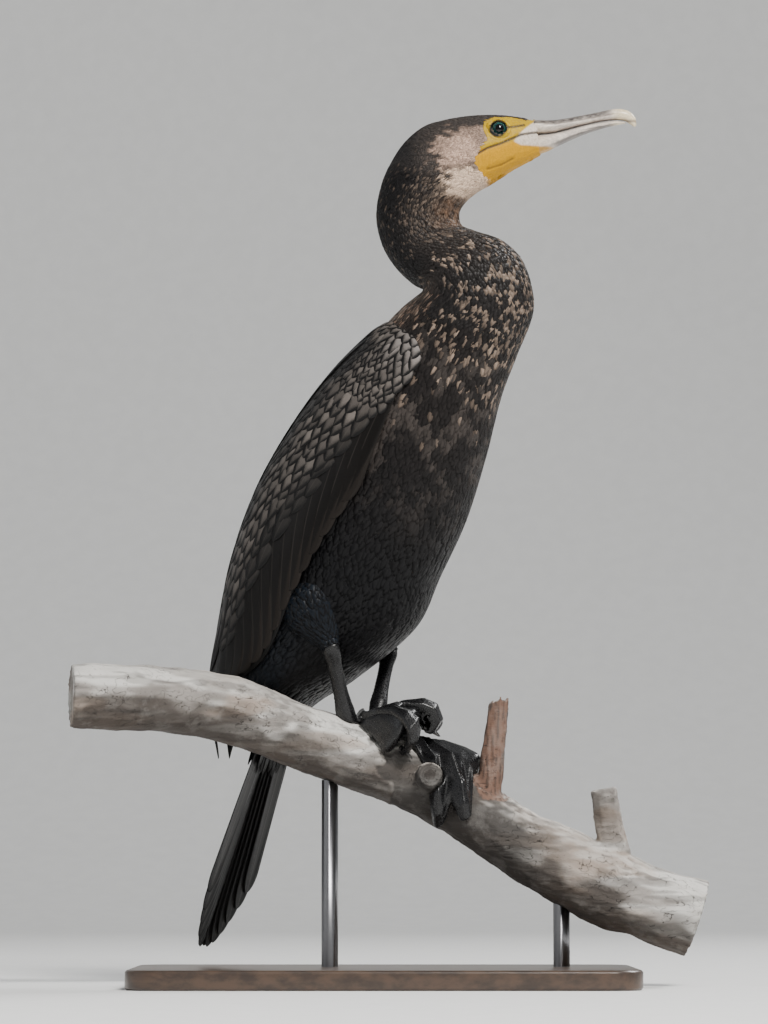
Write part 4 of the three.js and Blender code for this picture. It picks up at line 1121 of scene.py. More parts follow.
pressed = placed(x, y * (1 - eyeForm["socketDepth"] * socket), z, headTurn)
points = points + (pressed - placed(x, y, z, headTurn))
moveTo(skin, points)
paint(skin, "tint", markings(points, skinPlace, skinAngle, np.random.default_rng(skinSetup["seed"]))[0])
print("skin", len(skin.data.polygons) * 2, "triangles")


def mottledMaterial(name, roughness, scale, strength, depth, **constants):
    made, w, shader = newMaterial(name, roughness, **constants)
    place = w.place()
    tint = w.painted("tint")
    grain = w.noise(place, scale, 4.0, 0.6)
    light = w.ramp(grain, (0.3, 0.7, 1 - strength, 1 + strength))
    linkInto(w, shader, Base_Color=w.shaded(tint, light))
    bump(w, shader, grain, depth, 0.0004)
    return made


skin.data.materials.append(mottledMaterial("skinDown", 0.75, 500.0, 0.2, 0.3))

# Bare skin of the face, with its folds, over the head
faceColours = {"lore": (0.42, 0.26, 0.0), "gular": (0.52, 0.262, 0.0), "pale": (0.50, 0.33, 0.0),
               "horn": (0.62, 0.54, 0.46), "line": (0.02, 0.015, 0.012), "rim": (0.012, 0.014, 0.014),
               "ridge": (0.03, 0.024, 0.022), "speck": (0.30, 0.22, 0.12)}
faceSetup = {"voxel": 0.7, "smoothing": 3, "margin": 3.0, "thick": 1.0, "hollow": (6, 600, 112)}
faceFolds = [
    (0.14, ["wrinkles", ("fromEye", 7, 10)]),
    (-0.9, [("fromMouth", 1.2, 0.2)]),
    (-0.35, [("fromGular", 1.3, 0.3)]),
    (0.25, ["lidRings", ("fromEye", 11, 7.2), ("fromEye", 6, 7)]),
    (-3.6, [("fromEye", 6.1, 4.9)]),          # the eye shows whole between its lids
]
faceMarks = [
    ("pale", 0.8, [("blotch", -0.2, 0.9)]),
    ("horn", 1.0, ["horn"]),
    ("ridge", 0.8, ["horn", ("z", 618.0, 620.5)]),
    ("gular", 1.0, ["gular"]),
    ("line", 0.9, [("fromMouth", 1.3, 0.4)]),
    ("line", 0.6, [("fromGular", 0.9, 0.2)]),
    ("line", 0.85, [("fromEyeLine", 1.5, 0.4)]),
    ("rim", 1.0, [("fromEye", 7.0, 6.2)]),
    ("speck", 0.5, [("specks", 0.5, 0.8), "notGular"]),
]


def grownOutline(outline, margin):
    centre = np.mean(outline, 0)
    grown = []
    for x, z in outline:
        offset = np.array([x, z]) - centre
        grown.append(tuple(centre + offset * (1 + margin / np.linalg.norm(offset))))
    return grown


def segmentDistance(x, z, start, end):
    dx, dz = end[0] - start[0], end[1] - start[1]
    t = np.clip(((x - start[0]) * dx + (z - start[1]) * dz) / (dx * dx + dz * dz), 0, 1)
    return np.hypot(x - start[0] - t * dx, z - start[1] - t * dz)


def pathDistance(x, z, path):
    return np.min([segmentDistance(x, z, a, b) for a, b in zip(path, path[1:])], 0)


mouthPath = [(73.5, 593.6), (80, 597.5), (90, 601.3), (98, 605.2), (104, 608.2), (112, 609.7), (118, 610.4)]
gularPath = [(80, 583.5), (90, 587.0), (98, 591.5)]
eyeLinePath = [(93.5, 613), (101, 614.5), (106, 615.6)]


def gularOf(x, z):
    # the orange skin under the mandible runs forward to a point
    top = np.interp(x, [70, 78, 99, 104, 127, 130], [594, 597.5, 603.0, 600.6, 600.4, 596.0])
    return smooth(z - top, 1.0, -0.6) * smooth(x, 128.5, 125.5)


def hornOf(x, z):
    # the horn of the bill reaches back over the skin in a wedge
    back = np.interp(z, [596, 602.3, 608.5, 614, 618, 622], [104, 98.5, 102.5, 108, 112.5, 114])
    return smooth(x - back, -0.8, 1.2)


def faceMeasures(points):
    x, _, z = unplaced(points)
    fromEye = np.hypot(x - eyeForm["x"], z - eyeForm["z"])
    gular = gularOf(x, z)
    return {"z": z, "fromEye": fromEye, "fromMouth": pathDistance(x, z, mouthPath),
            "fromGular": pathDistance(x, z, gularPath), "fromEyeLine": pathDistance(x, z, eyeLinePath),
            "wrinkles": waves(points, 2.6, 5, 2), "lidRings": np.sin(fromEye * 3.4),
            "blotch": waves(points, 9, 8), "specks": waves(points, 1.6, 12, 2), "horn": hornOf(x, z),
            "gular": gular, "notGular": 1 - gular}


face = copyOf("faceSkin", "head")
remeshed(face, faceSetup["voxel"], faceSetup["smoothing"])
x, y, z = unplaced(coordinates(face))
outside = ~insideOutline(x, z, grownOutline(faceOutline, faceSetup["margin"]))
halfWide, above, behind = faceSetup["hollow"]          # no face skin over the crown
outside |= (np.abs(y) < halfWide) & (z > above) & (x < behind)
face.data.vertices.foreach_set("select", outside)
onlySelect(face)
bpy.ops.object.mode_set(mode="EDIT")
bpy.ops.mesh.select_mode(type="VERT")
bpy.ops.object.mode_set(mode="OBJECT")
face.data.vertices.foreach_set("select", outside)
face.data.edges.foreach_set("select", np.zeros(len(face.data.edges), bool))
face.data.polygons.foreach_set("select", np.zeros(len(face.data.polygons), bool))
bpy.ops.object.mode_set(mode="EDIT")
bpy.ops.mesh.delete(type="VERT")
bpy.ops.object.mode_set(mode="OBJECT")
points = coordinates(face)
measures = faceMeasures(points)
folds = sum(height * faded(measures, fades) for height, fades in faceFolds)
moveTo(face, points + normals(face) * folds[:, None])
modify(face, "SOLIDIFY", thickness=faceSetup["thick"] * mm, offset=-1.0)
points = coordinates(face)
lore = plain(faceColours["lore"], len(points))
paint(face, "tint", marked(lore, faceColours, faceMeasures(points), faceMarks))
face.data.materials.append(mottledMaterial("faceSkinColour", 0.5, 900.0, 0.12, 0.4, Specular_IOR_Level=0.22))
onlySelect(face)
bpy.ops.object.shade_smooth()
print("face", len(face.data.polygons) * 2, "triangles")

# Eyes
eyeColours = {"iris": (0.003, 0.026, 0.025, 1), "irisLight": (0.010, 0.075, 0.068, 1),
              "pupil": (0.001, 0.001, 0.001, 1)}
eyeGaze = {"ahead": 0.22, "out": 1, "up": 0.03, "segments": 64, "rings": 40}


def eyeMaterial():
    made, w, shader = newMaterial("eyeGlass", 0.12, Coat_Weight=0.6, Coat_Roughness=0.02,
                                  Specular_IOR_Level=0.2)
    parts = w.node("ShaderNodeSeparateXYZ", {0: w.painted("gaze", "Vector")})
    radius = parts.outputs[0]
    spin = w.maths("MULTIPLY", parts.outputs[1], 9.0)
    spokes = w.node("ShaderNodeCombineXYZ", {0: spin, 1: w.maths("MULTIPLY", radius, 1.2), 2: 0.0}).outputs[0]
    streaks = w.noise(spokes, 2.4, 3.0)
    iris = w.mix(w.ramp(streaks, (0.35, 0.7, 0, 1)), eyeColours["iris"], eyeColours["irisLight"])
    iris = w.mix(w.ramp(radius, (0.62, 0.78, 0, 1)), iris, eyeColours["pupil"])
    linkInto(w, shader, Base_Color=w.mix(w.ramp(radius, (0.36, 0.41, 1, 0)), iris, eyeColours["pupil"]))
    return made


eyeGlass = eyeMaterial()
eyes = {}
for side, label in ((1, "left"), (-1, "right")):
    centre = placed(eyeForm["x"], side * eyeForm["across"], eyeForm["z"], headTurn)
    bpy.ops.object.select_all(action="DESELECT")
    bpy.ops.mesh.primitive_uv_sphere_add(segments=eyeGaze["segments"], ring_count=eyeGaze["rings"],
                                         radius=eyeForm["radius"] * mm)
    eye = bpy.context.object
    eye.name = "eyeball_" + label
    target = placed(eyeForm["x"] + eyeGaze["ahead"], side * (eyeForm["across"] + eyeGaze["out"]),
                    eyeForm["z"] + eyeGaze["up"], headTurn)
    gaze = (target - centre) / np.linalg.norm(target - centre)
    local = coordinates(eye) / eyeForm["radius"]
    acrossAxis = np.cross(gaze, (0, 0, 1.0))
    acrossAxis /= np.linalg.norm(acrossAxis)
    upAxis = np.cross(acrossAxis, gaze)
    reach = np.arccos(np.clip(local @ gaze, -1, 1)) / (math.pi / 2)
    spin = np.arctan2(local @ upAxis, local @ acrossAxis) / math.pi
    layer = eye.data.attributes.new("gaze", "FLOAT_VECTOR", "POINT")
    layer.data.foreach_set("vector", np.stack([reach, spin, reach * 0], -1).astype(np.float32).ravel())
    moveTo(eye, local * eyeForm["radius"] + centre)
    bpy.ops.object.shade_smooth()
    eye.data.materials.append(eyeGlass)
    eyes[label] = eye
print("eyes made")

# Bill: horn with grooves, a dark ridge and a pale hooked tip
billColours = {"horn": (0.58, 0.51, 0.45), "pale": (0.74, 0.66, 0.57), "ridge": (0.03, 0.024, 0.022),
               "edge": (0.15, 0.11, 0.09), "tip": (0.74, 0.62, 0.42), "base": (0.62, 0.52, 0.38),
               "gular": faceColours["gular"]}
hornMarks = [
    ("pale", 1.0, [("blotch", -0.3, 0.8)]),
    ("base", 0.3, [("x", 132, 117)]),
    ("gular", 0.95, ["gular"]),
]
upperMarks = [
    ("ridge", 1.0, ["top", ("x", 176, 160), "ridgeMottle"]),
    ("edge", 0.75, ["groove"]),
    ("tip", 1.0, [("x", 166, 176)]),
]
lowerMarks = [
    # painted shade: the lower mandible's downward-facing underside takes the dark ridge colour
    ("ridge", 0.75, [("facingForShade", -0.45, -0.85), ("x", 124, 132), ("x", 176, 168)]),
    ("tip", 0.6, [("x", 164, 174)]),
]
cutMarks = [("edge", 0.7, [("fromCut", 1.6, 0.4)])]
upperGroove = (-0.45, [("fromGroove", 0.7, 0.1), ("x", 114, 122), ("x", 176, 168)])
lowerGroove = (-0.25, [("fromLowerGroove", 0.6, 0.1), ("x", 170, 160)])
billForm = {"voxel": 0.55, "smoothing": 4, "rootSlide": 3.0, "slide": (123, 116.5), "grooveDepth": 4.4,
            "lowerGrooveDepth": 4.2, "ridgeDepth": (4.9, 3.3), "wrinkle": 0.05}


def billMaterial():
    made, w, shader = newMaterial("billHorn", 0.32, Coat_Weight=0.25, Coat_Roughness=0.2)
    place = w.place()
    tint = w.painted("tint")
    streaks = w.noise(w.stretched(place, (0.22, 1.0, 1.0), (0, 0, -math.radians(headTurn))), 700.0, 4.0, 0.65)
    light = w.ramp(streaks, (0.3, 0.7, 0.8, 1.14))
    linkInto(w, shader, Base_Color=w.shaded(tint, light))
    bump(w, shader, streaks, 0.25, 0.0003)
    return made


billHorn = billMaterial()


def billTop(x):
    return np.interp(x, [115, 128, 146, 160, 171, 180, 186], [621.2, 620.9, 623.7, 626.3, 628.4, 627, 618])


def billCut(x):
    return np.interp(x, [115, 128, 146, 160, 171, 180], [610.0, 611.4, 615.8, 618.8, 619.8, 618.8])


def addBill(name, node, groove, marks):
    form = billForm
    bill = remeshed(copyOf(name, node), form["voxel"], form["smoothing"])
    points = coordinates(bill)
    x, _, z = unplaced(points)
    ahead = np.array([math.cos(math.radians(headTurn)), math.sin(math.radians(headTurn)), 0.0])
    slide = form["rootSlide"] * smooth(x, *form["slide"])      # the root reaches under the face's skin
    points = points - ahead * slide[:, None]
    moveTo(bill, points)
    x, _, z = unplaced(points)
    measures = {
        "x": x, "top": smooth(billTop(x) - z, *form["ridgeDepth"]), "fromCut": np.abs(z - billCut(x)),
        "fromGroove": np.abs(billTop(x) - z - form["grooveDepth"]),
        "fromLowerGroove": np.abs(billCut(x) - z - form["lowerGrooveDepth"]), "gular": gularOf(x, z),
        "blotch": waves(points, 14, 9), "ridgeMottle": 0.8 + 0.2 * waves(points, 5, 31),
    }
    depth, fades = groove
    measures["groove"] = faded(measures, fades)
    shift = depth * measures["groove"] + form["wrinkle"] * waves(points, 2.2, 21, 2)
    moveTo(bill, points + normals(bill) * shift[:, None])
    # how far each point faces up, for the painted shade under the lower mandible
    measures["facingForShade"] = normals(bill)[:, 2]
    horn = plain(billColours["horn"], len(x))
    paint(bill, "tint", marked(horn, billColours, measures, hornMarks + marks + cutMarks))
    bill.data.materials.append(billHorn)
    return bill


billUpper = addBill("billUpper", "bill_upper", upperGroove, upperMarks)
billLower = addBill("billLower", "bill_lower", lowerGroove, lowerMarks)
print("bill made")

# Legs and feet: black skin with scutes, satin webs
legColours = {"skin": (0.005, 0.005, 0.0056), "worn": (0.05, 0.048, 0.047), "claw": (0.018, 0.016, 0.015),
              "clawWorn": (0.06, 0.055, 0.05)}
footForm = {"voxel": 0.75, "smoothing": 12}


def scuteMaterial(name, scale, roughness):
    made, w, shader = newMaterial(name, roughness, Specular_IOR_Level=0.45)
    place = w.place()
    cells = w.node("ShaderNodeTexVoronoi", {"Vector": place, "Scale": scale}, feature="DISTANCE_TO_EDGE")
    plate = w.ramp(cells.outputs["Distance"], (0.0, 0.22, 0, 1))
    wear = w.noise(place, 130.0, 3.0, 0.6)
    tint = w.painted("tint")
    worn = w.maths("MULTIPLY", w.ramp(wear, (0.5, 0.75, 0, 0.1)), plate)
    colour = w.mix(worn, tint, (*legColours["worn"], 1))
    linkInto(w, shader, Base_Color=colour, Roughness=w.ramp(plate, (0, 1, 0.45, roughness)))
    bump(w, shader, plate, 0.14, 0.0003)
    return made


legSkin = scuteMaterial("legSkin", 520.0, 0.26)
clawMaterial, w, shader = newMaterial("clawHorn", 0.28, Coat_Weight=0.3)
worn = w.ramp(w.noise(w.place(), 260.0), (0.45, 0.7, 0, 1))
linkInto(w, shader, Base_Color=w.mix(worn, (*legColours["claw"], 1), (*legColours["clawWorn"], 1)))
limbPieces = []
# Share of the shank's length, depth and width; scutes are low ridges down its front
shank = {"rings": 40, "sides": 20, "scute": 0.22, "scutePitch": 90, "scuteFront": (-0.2, 0.6),
         "heels": {"left": (-14.6, 18, 205), "right": (-22.7, -18, 200)},
         "sizes": [(-0.05, 12, 10), (0.06, 14, 11), (0.14, 13.5, 10), (0.28, 11.5, 8.2), (0.5, 11, 7.8),
                   (0.78, 11.4, 9), (0.9, 12.5, 10), (1.05, 14, 11), (1.25, 12, 10)]}


def addFoot(name, node):
    foot = remeshed(copyOf(name, node), footForm["voxel"], footForm["smoothing"])
    paint(foot, "tint", plain(legColours["skin"], len(foot.data.vertices)))
    foot.data.materials.append(legSkin)
    return foot


def addShank(label):
    side = 1 if label == "left" else -1
    knee = np.array(thighKnee) * (1, side, 1)
    heel = np.array(shank["heels"][label], float)
    rings, sides = shank["rings"], shank["sides"]
    table = np.array(shank["sizes"], float)
    shares = np.linspace(table[0, 0], table[-1, 0], rings)
    share, angle = np.meshgrid(shares, np.arange(sides) / sides * 2 * math.pi, indexing="ij")
    depth, width = (np.interp(share, table[:, 0], table[:, k]) / 2 for k in (1, 2))
    ridges = shank["scute"] * np.sin(share * shank["scutePitch"])
    ridges = ridges * smooth(np.cos(angle), *shank["scuteFront"])
    points = limbPoint(knee, heel, share, angle, depth + ridges, width + ridges).reshape(-1, 3)
    quads = [(r * sides + k, r * sides + (k + 1) % sides, (r + 1) * sides + (k + 1) % sides,
              (r + 1) * sides + k)
             for r in range(rings - 1) for k in range(sides)]
    for start in (0, (rings - 1) * sides):
        quads += [(start + k, start + k + 1, start + sides - 2 - k, start + sides - 1 - k)
                  for k in range(sides // 2 - 1)]
    piece = meshPiece("shank_" + label, points, np.array(quads),
                      {"tint": withAlpha(plain(legColours["skin"], len(points)))})
    inEdit(piece, (bpy.ops.mesh.normals_make_consistent, {"inside": False}))
    piece.data.materials.append(legSkin)
    return piece


for label in ("left", "right"):
    limb = addFoot("foot_skin_" + label, "foot_" + label)
    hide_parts("foot_" + label)
    limbPieces.append(limb)
    limb = addShank(label)
    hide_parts("tarsus_" + label)
    limbPieces.append(limb)
    for number in range(1, 5):
        node = f"claw_{label}_{number}"
        claw = copyOf("horn_" + node, node)
        modify(claw, "SUBSURF", levels=1, render_levels=1)
        onlySelect(claw)
        bpy.ops.object.shade_smooth()
        claw.data.materials.append(clawMaterial)
        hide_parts(node)
        limbPieces.append(claw)

# The near foot's web hangs from its outer toe down the side of the branch; spokes: angle, reach, arch
toeCourse = [(0.1, 0.12), (0.42, 0.6), (0.76, 0.96), (0.97, 0.98), (1.05, 0.5), (1, 0.04)]
nearWeb = {"run": -28.0, "heelAway": -3.0, "rows": 22, "columns": 18, "thickness": 1.0, "off": 0.7,
           "probe": 0.01, "rise": 0.94, "foldDepth": 0.5, "foldPitch": 1.1, "foldRun": (0.1, 0.6),
           "spokes": [(-19, 41, 24), (-2, 37, 29), (12, 33, 29), (25, 31, 30), (30, 31, 25),
                      (35, 31, 17), (39, 30, 9), (42, 29, 2)]}


def turnedBy(points, turn):
    x, y, z = np.moveaxis(points, -1, 0)
    return np.stack([x * math.cos(turn) - y * math.sin(turn), x * math.sin(turn) + y * math.cos(turn), z], -1)


def branchTop(run, around, lift):
    # on the branch: along its line, and from its top down its near side
    rows = np.column_stack([branchLine, branchRadii])
    place = np.interp(run, branchLine[:, 0], np.arange(len(branchLine)))
    here = spline(rows, place)
    ahead = spline(rows, place + nearWeb["probe"])
    tangent = ahead[..., :3] - here[..., :3]
    tangent /= np.linalg.norm(tangent, axis=-1, keepdims=True)
    near = np.array([0.0, -1.0, 0.0]) - tangent * -tangent[..., 1:2]
    near /= np.linalg.norm(near, axis=-1, keepdims=True)
    up = np.cross(near, tangent)
    up = up * np.sign(up[..., 2:3])
    reach = (here[..., 3] + lift)[..., None]
    local = here[..., :3] + up * np.cos(around)[..., None] * reach + near * np.sin(around)[..., None] * reach
    return turnedBy(local, math.radians(branchHeading))


def addNearWeb():
    n = nearWeb
    spokes = spline(n["spokes"], np.linspace(0, len(n["spokes"]) - 1, n["rows"]))
    course = spline(toeCourse, np.linspace(0, len(toeCourse) - 1, n["columns"]))
    angle, reach, arch = (spokes[:, k][:, None] for k in range(3))
    along, rise = course[:, 0][None, :], course[:, 1][None, :]
    folds = n["foldDepth"] * np.sin(np.arange(n["rows"])[:, None] * n["foldPitch"])
    folds = folds * smooth(along, *n["foldRun"])
    middle = np.interp(n["run"], branchLine[:, 0], branchLine[:, 1])
    radius = np.interp(n["run"], branchLine[:, 0], branchRadii)
    run = n["run"] + np.cos(np.radians(angle)) * reach * along
    around = math.asin((middle - n["heelAway"]) / radius) + np.sin(np.radians(angle)) * reach * along / radius
    lift = n["off"] + rise * arch * n["rise"] + folds
    lower = branchTop(run, around, lift)
    upper = branchTop(run, around, lift + n["thickness"])
    points = np.concatenate([upper.reshape(-1, 3), lower.reshape(-1, 3)])
    piece = meshPiece("nearFootWeb", points, vaneFaces(n["rows"], n["columns"]),
                      {"tint": withAlpha(plain(legColours["skin"], len(points)))})
    inEdit(piece, (bpy.ops.mesh.normals_make_consistent, {"inside": False}))
    piece.data.materials.append(legSkin)
    return piece


# The branch's own line and radii, before its turn across the bird
branchRadii = np.array([22.5, 23.8, 23.8, 23.8, 23, 23.6, 23.8, 23.8, 25, 26.8, 28.8, 26.4, 28.4])
branchLine = np.array([[-222, -30, 206], [-190, -24, 206], [-131, -12, 202], [-95, -5, 192.5],
                       [-60, 2, 178.2], [-10, 7, 160.5], [35, 10, 141.5], [69, 10, 121], [100, 10, 100],
                       [126, 10, 87.5], [155, 10, 73], [184, 10, 61.5], [224, 10, 48]], float)
web = addNearWeb()
limbPieces.append(web)
print("legs made")

# Perch: weathered bark over the CAD branch
# white serves the bleached patches and the painted light on the branch's top; brown serves the stains and the
# painted shade underneath
barkColours = {"pale": (0.30, 0.275, 0.25), "whiteBleachAndLight": (0.66, 0.64, 0.60), "brownStainAndShade": (0.040, 0.030, 0.024),
               "dark": (0.03, 0.024, 0.02), "red": (0.19, 0.105, 0.072), "beige": (0.34, 0.26, 0.20),
               "wood": (0.038, 0.034, 0.031)}
barkMarks = [
    ("whiteBleachAndLight", 1.0, [("bleached", 0.0, 0.5)]),
    ("beige", 0.6, [("warm", 0.1, 0.5)]),
    # painted light: the upward-facing top of the branch is whiter
    ("whiteBleachAndLight", 0.45, [("litTopside", 0.2, 0.9)]),
    # painted shade: the branch's underside is darker brown
    ("brownStainAndShade", 0.85, [("shadedUnderside", 0.3, -0.5)]),
    # dark on the near lower side beyond the foot: bare peeled wood, and the bird's painted cast shadow
    ("wood", 0.85, ["peelAndShadow"]),
    ("brownStainAndShade", 0.35, [("stain", 0.5, 0.8)]),
    ("wood", 0.4, [("blotch", 0.3, 0.7)]),
    ("red", 0.85, ["onBroken", ("brokenSide", -0.3, 0.5)]),
    ("dark", 0.6, ["onBroken", ("splinter", 0.25, 0.6)]),
    ("wood", 1.0, ["onNear", "nearRings"]),
    ("dark", 0.85, ["heart"]),
]
# Middle lines of the snapped stub and the near sawn one; where each starts, and its reach round the line
stubs = {"broken": {"line": ((71, 8, 112), (83, 2, 203)), "from": 0.25, "reach": 16},
         "near": {"line": ((30, 12, 143), (33, -27, 150.5)), "from": 0.7, "reach": 14}}
barkForm = {"voxel": 1.3, "smoothing": 3, "grain": (0.16, 1.0, 1.0), "stubGrain": (1.0, 1.0, 0.12),
            "ringPitch": 2.6, "ringDepth": 0.35, "ringFrom": 0.93, "splinterDepth": 0.7, "highest": 0.6,
            "peelDepth": 0.8, "peelAndShadowFrom": 4, "peelAndShadowRough": 6, "peelAndShadowSlant": 0.25, "peelAndShadowHeight": 170,
            "brokenFace": (0.5, -0.87, 0.0), "heartFrom": 0.97, "heartReach": 4, "grainTilt": 0.42,
            "knots": 0.6, "furrows": 0.3, "cracks": 0.2}


def onStub(local, stub):
    # how far along the stub's line, how far from it, and whether it is on the stub
    start, end = (np.array(point, float) for point in stub["line"])
    along = (local - start) @ (end - start) / ((end - start) @ (end - start))
    away = np.linalg.norm(local - start - np.clip(along, 0, 1)[:, None] * (end - start), axis=1)
    return along, away, (along > stub["from"]) & (away < stub["reach"])


perch = remeshed(copyOf("perchBark", "perch_branch"), barkForm["voxel"], barkForm["smoothing"])
points = coordinates(perch)
outward = normals(perch)
local = turnedBy(points, -math.radians(branchHeading))
lengthwise = local * barkForm["grain"]
furrow = waves(lengthwise, 7.0, 41, 2)
knots = waves(points, 34.0, 44, 2)
splinter = waves(local * barkForm["stubGrain"], 3.2, 52, 2)
onBroken = onStub(local, stubs["broken"])[2]
nearAlong, nearAway, onNear = onStub(local, stubs["near"])
rings = np.sin(nearAway * barkForm["ringPitch"])
relief = barkForm["knots"] * knots + barkForm["furrows"] * furrow
relief = relief + barkForm["cracks"] * waves(lengthwise, 3.0, 47, 1)
relief = np.where(onBroken, splinter * barkForm["splinterDepth"], relief)
relief = relief + rings * barkForm["ringDepth"] * (onNear & (nearAlong > barkForm["ringFrom"]))
# One mask for bare peeled wood and the bird's painted cast shadow on the near, lower side of the branch: it
# sinks the surface a little and paints it in dark wood
fromPeelAndShadow = local[:, 0] + barkForm["peelAndShadowFrom"] + barkForm["peelAndShadowRough"] * waves(points, 22, 55, 2)
fromPeelAndShadow = fromPeelAndShadow - barkForm["peelAndShadowSlant"] * (barkForm["peelAndShadowHeight"] - local[:, 2])
peelAndShadowFades = [("fromPeelAndShadow", -1, 2), ("along", 140, 95), ("peelAndShadowFacing", 0.9, 0.45)]
measures = {"fromPeelAndShadow": fromPeelAndShadow, "along": local[:, 0], "peelAndShadowFacing": outward[:, 2] + 0.2 * furrow}
peelAndShadow = faded(measures, peelAndShadowFades)
shift = np.minimum(relief, barkForm["highest"]) - barkForm["peelDepth"] * peelAndShadow
moveTo(perch, points + outward * shift[:, None])
measures = {
    "bleached": waves(lengthwise, 30, 61), "warm": waves(lengthwise, 44, 63), "peelAndShadow": peelAndShadow,
    "litTopside": outward[:, 2] + 0.3 * furrow, "shadedUnderside": outward[:, 2] + 0.3 * knots,
    "stain": waves(lengthwise, 15, 66), "blotch": waves(lengthwise, 12.0, 68, 3),
    "onBroken": onBroken, "splinter": splinter, "onNear": onNear,
    "brokenSide": outward @ np.array(barkForm["brokenFace"]) + 0.5 * splinter, "nearRings": 0.5 + 0.3 * rings,
    "heart": (nearAlong > barkForm["heartFrom"]) & (nearAway < barkForm["heartReach"]),
}
paint(perch, "tint", marked(plain(barkColours["pale"], len(points)), barkColours, measures, barkMarks))


def barkMaterial():
    made, w, shader = newMaterial("bareBark", 0.85)
    place = w.place()
    tint = w.painted("tint")
    whiteBleachAndLight = (*barkColours["whiteBleachAndLight"], 1)
    dark = (*barkColours["dark"], 1)
    slant = (0, barkForm["grainTilt"], -math.radians(branchHeading))
    grain = w.noise(w.stretched(place, (0.15, 1, 1), slant), 420.0, 5.0, 0.7)
    patches = w.noise(place, 60.0, 5.0, 0.65)
    colour = w.mix(w.ramp(patches, (0.5, 0.62, 0, 0.07)), tint, whiteBleachAndLight)
    colour = w.mix(w.ramp(grain, (0.40, 0.32, 0, 0.5)), colour, dark)
    lines = w.noise(w.stretched(place, (0.1, 1, 1), slant), 210.0, 2.0, 0.45)
    seam = w.maths("ABSOLUTE", w.maths("SUBTRACT", lines, 0.5))
    crack = w.maths("MULTIPLY", w.ramp(seam, (0.0, 0.012, 1, 0)),
                    w.ramp(w.noise(place, 38.0), (0.46, 0.6, 0, 1)))
    colour = w.mix(w.maths("MULTIPLY", crack, 0.85), colour, dark)
    linkInto(w, shader, Base_Color=colour)
    relief = w.maths("SUBTRACT", w.maths("ADD", grain, patches), w.maths("MULTIPLY", crack, 1.5))
    bump(w, shader, relief, 0.8, 0.0012)
    return made


perch.data.materials.append(barkMaterial())
print("perch", len(perch.data.polygons) * 2, "triangles")

# Display stand
standColours = {"wood": (0.035, 0.022, 0.015, 1), "woodLight": (0.075, 0.045, 0.028, 1),
                "steel": (0.20, 0.20, 0.21, 1), "steelLight": (0.24, 0.24, 0.25, 1)}
standForm = {"bevel": 1.8, "segments": 4, "edge": 0.6, "rodEdge": 0.7, "grainTurn": -0.52}
base = copyOf("displayBase", "stand_base")
modify(base, "BEVEL", width=standForm["bevel"] * mm, segments=standForm["segments"], limit_method="ANGLE",
       angle_limit=standForm["edge"])
onlySelect(base)
bpy.ops.object.shade_smooth_by_angle(angle=standForm["edge"])
woodMaterial, w, shader = newMaterial("baseWood", 0.38, Coat_Weight=0.35, Coat_Roughness=0.25)
grain = w.noise(w.stretched(w.place(), (0.06, 1, 1), (0, 0, standForm["grainTurn"])), 130.0, 6.0, 0.6)
colour = w.mix(w.ramp(grain, (0.35, 0.65, 0, 1)), standColours["wood"], standColours["woodLight"])
linkInto(w, shader, Base_Color=colour)
bump(w, shader, grain, 0.12, 0.0004)
base.data.materials.append(woodMaterial)
steelMaterial, w, shader = newMaterial("rodSteel", 0.3, Metallic=1.0)
scratch = w.noise(w.stretched(w.place(), (1, 1, 60)), 90.0, 3.0)
colour = w.mix(scratch, standColours["steel"], standColours["steelLight"])
linkInto(w, shader, Base_Color=colour, Roughness=w.ramp(scratch, (0.3, 0.7, 0.30, 0.36)))
rods = copyOf("displayRods", "stand_rod_1", "stand_rod_2")
onlySelect(rods)
bpy.ops.object.shade_smooth_by_angle(angle=standForm["rodEdge"])
rods.data.materials.append(steelMaterial)
print("stand made")


# What each piece stands for and rides on: the root carries it, and the CAD nodes it replaces are hidden
def settle(piece, slot, *nodes):
    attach(piece, "root")
    if nodes:
        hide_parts(*nodes)


settle(skin, "body_plumage", "torso", "neck_lower", "neck_upper", "head", "thigh_left", "thigh_right")
for slotName, pieces in (("body_plumage", [trunkCoat, breastCoat] + thighCoats),
                         ("head_plumage", [face, headCoat]),
                         ("neck_plumage", [lowerNeckCoat, upperNeckCoat]),
                         ("tail_plumage", [tailBed] + tailCoverts)):
    for piece in pieces:
        settle(piece, slotName)
for label, pieces in wingPieces.items():
    for piece in pieces:
        settle(piece, "wing_plumage")
    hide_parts("wing_" + label.lower())
settle(tailVanes, "tail_plumage", "tail")
settle(billUpper, "bill_horn", "bill_upper")
settle(billLower, "bill_horn", "bill_lower")
for label, eye in eyes.items():
    settle(eye, "eye", "eye_" + label)
for piece in limbPieces:
    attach(piece, "root")
settle(perch, "bare_branch", "perch_branch")
settle(base, "base_wood", "stand_base")
settle(rods, "rod_steel", "stand_rod_1", "stand_rod_2")

# Floor, backdrop and light, in metres and watts
studio = {"floorReach": 4.5, "wallHeight": 5.0, "floorColour": (0.88, 0.88, 0.87, 1), "worldLight": 0.33,
          "worldColour": (0.86, 0.88, 0.9, 1), "bend": 1.6, "bendSteps": 24, "level": 0.01,
          "aim": (0.0, 0.0, 0.35)}
lights = [
    {"name": "keyLight", "place": (2.0, -1.5, 2.4), "size": 0.8, "power": 150, "colour": (1.0, 0.98, 0.95)},
    {"name": "fillLight", "place": (-1.6, -2.0, 1.2), "size": 1.6, "power": 9, "colour": (0.93, 0.96, 1.0)},
    {"name": "rimLight", "place": (0.9, 2.0, 2.2), "size": 0.8, "power": 50, "colour": (1, 1, 1)},
]


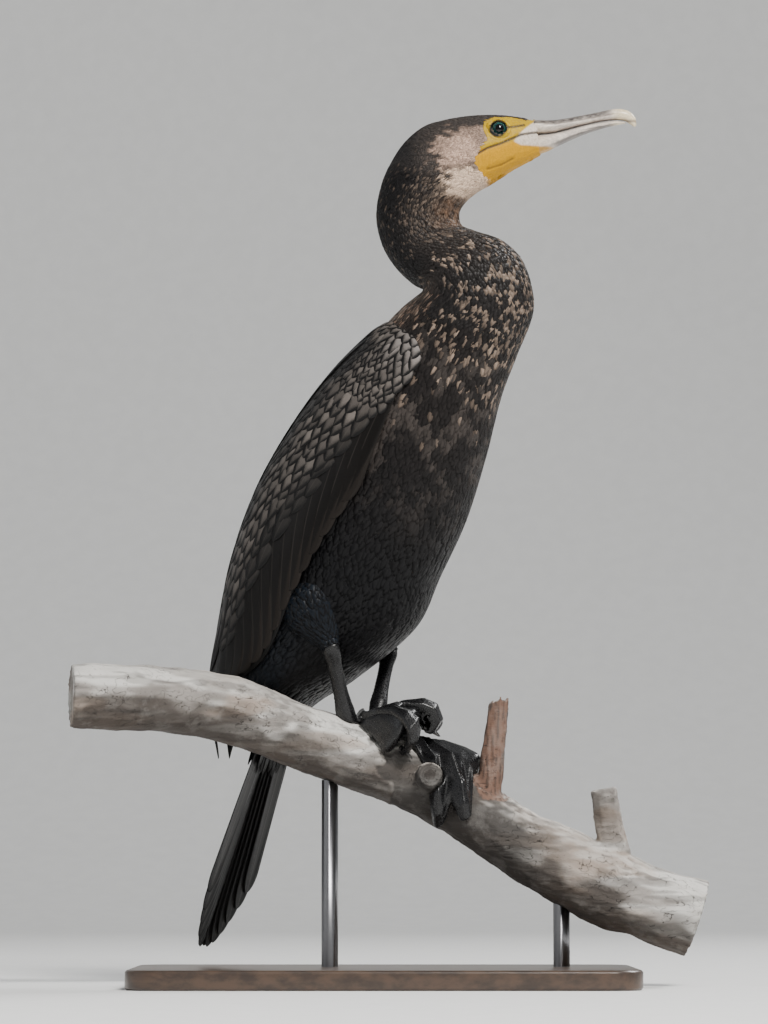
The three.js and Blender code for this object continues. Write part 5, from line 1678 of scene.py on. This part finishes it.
def addStudio():
    bpy.ops.object.select_all(action="DESELECT")
    bpy.ops.mesh.primitive_plane_add(size=studio["floorReach"] * 2)
    floor = bpy.context.object
    floor.name = "studioFloor"
    bpy.ops.object.mode_set(mode="EDIT")
    bpy.ops.mesh.select_mode(type="EDGE")
    bpy.ops.mesh.select_all(action="DESELECT")
    bpy.ops.object.mode_set(mode="OBJECT")
    for edge in floor.data.edges:
        edge.select = all(floor.data.vertices[i].co.y > 0 for i in edge.vertices)
    bpy.ops.object.mode_set(mode="EDIT")
    bpy.ops.mesh.extrude_region_move(TRANSFORM_OT_translate={"value": (0, 0, studio["wallHeight"])})
    bpy.ops.mesh.select_all(action="DESELECT")
    bpy.ops.object.mode_set(mode="OBJECT")
    for edge in floor.data.edges:
        ends = [floor.data.vertices[i].co for i in edge.vertices]
        edge.select = all(end.y > 0 and abs(end.z) < studio["level"] for end in ends)
    bpy.ops.object.mode_set(mode="EDIT")
    bpy.ops.mesh.bevel(offset=studio["bend"], segments=studio["bendSteps"])
    bpy.ops.object.mode_set(mode="OBJECT")
    bpy.ops.object.shade_smooth()
    floor.data.transform(Matrix.Rotation(math.radians(cameraSetup["azimuth"]), 4, "Z"))
    material, w, shader = newMaterial("studioPaper", 0.9)
    paper = w.ramp(w.noise(w.place(), 40.0), (0.3, 0.7, 0.97, 1.0))
    linkInto(w, shader, Base_Color=w.shaded(studio["floorColour"], paper))
    floor.data.materials.append(material)
    world = bpy.data.worlds.new("studioWorld")
    bpy.context.scene.world = world
    world.use_nodes = True
    background = world.node_tree.nodes["Background"]
    background.inputs[0].default_value = studio["worldColour"]
    background.inputs[1].default_value = studio["worldLight"]


def addLight(setup):
    bpy.ops.object.light_add(type="AREA", location=setup["place"])
    light = bpy.context.object
    light.name = setup["name"]
    light.data.size = setup["size"]
    light.data.energy = setup["power"]
    light.data.color = setup["colour"]
    toward = Vector(studio["aim"]) - Vector(setup["place"])
    light.rotation_euler = toward.to_track_quat("-Z", "Y").to_euler()


addStudio()
for setup in lights:
    addLight(setup)
print("studio made")
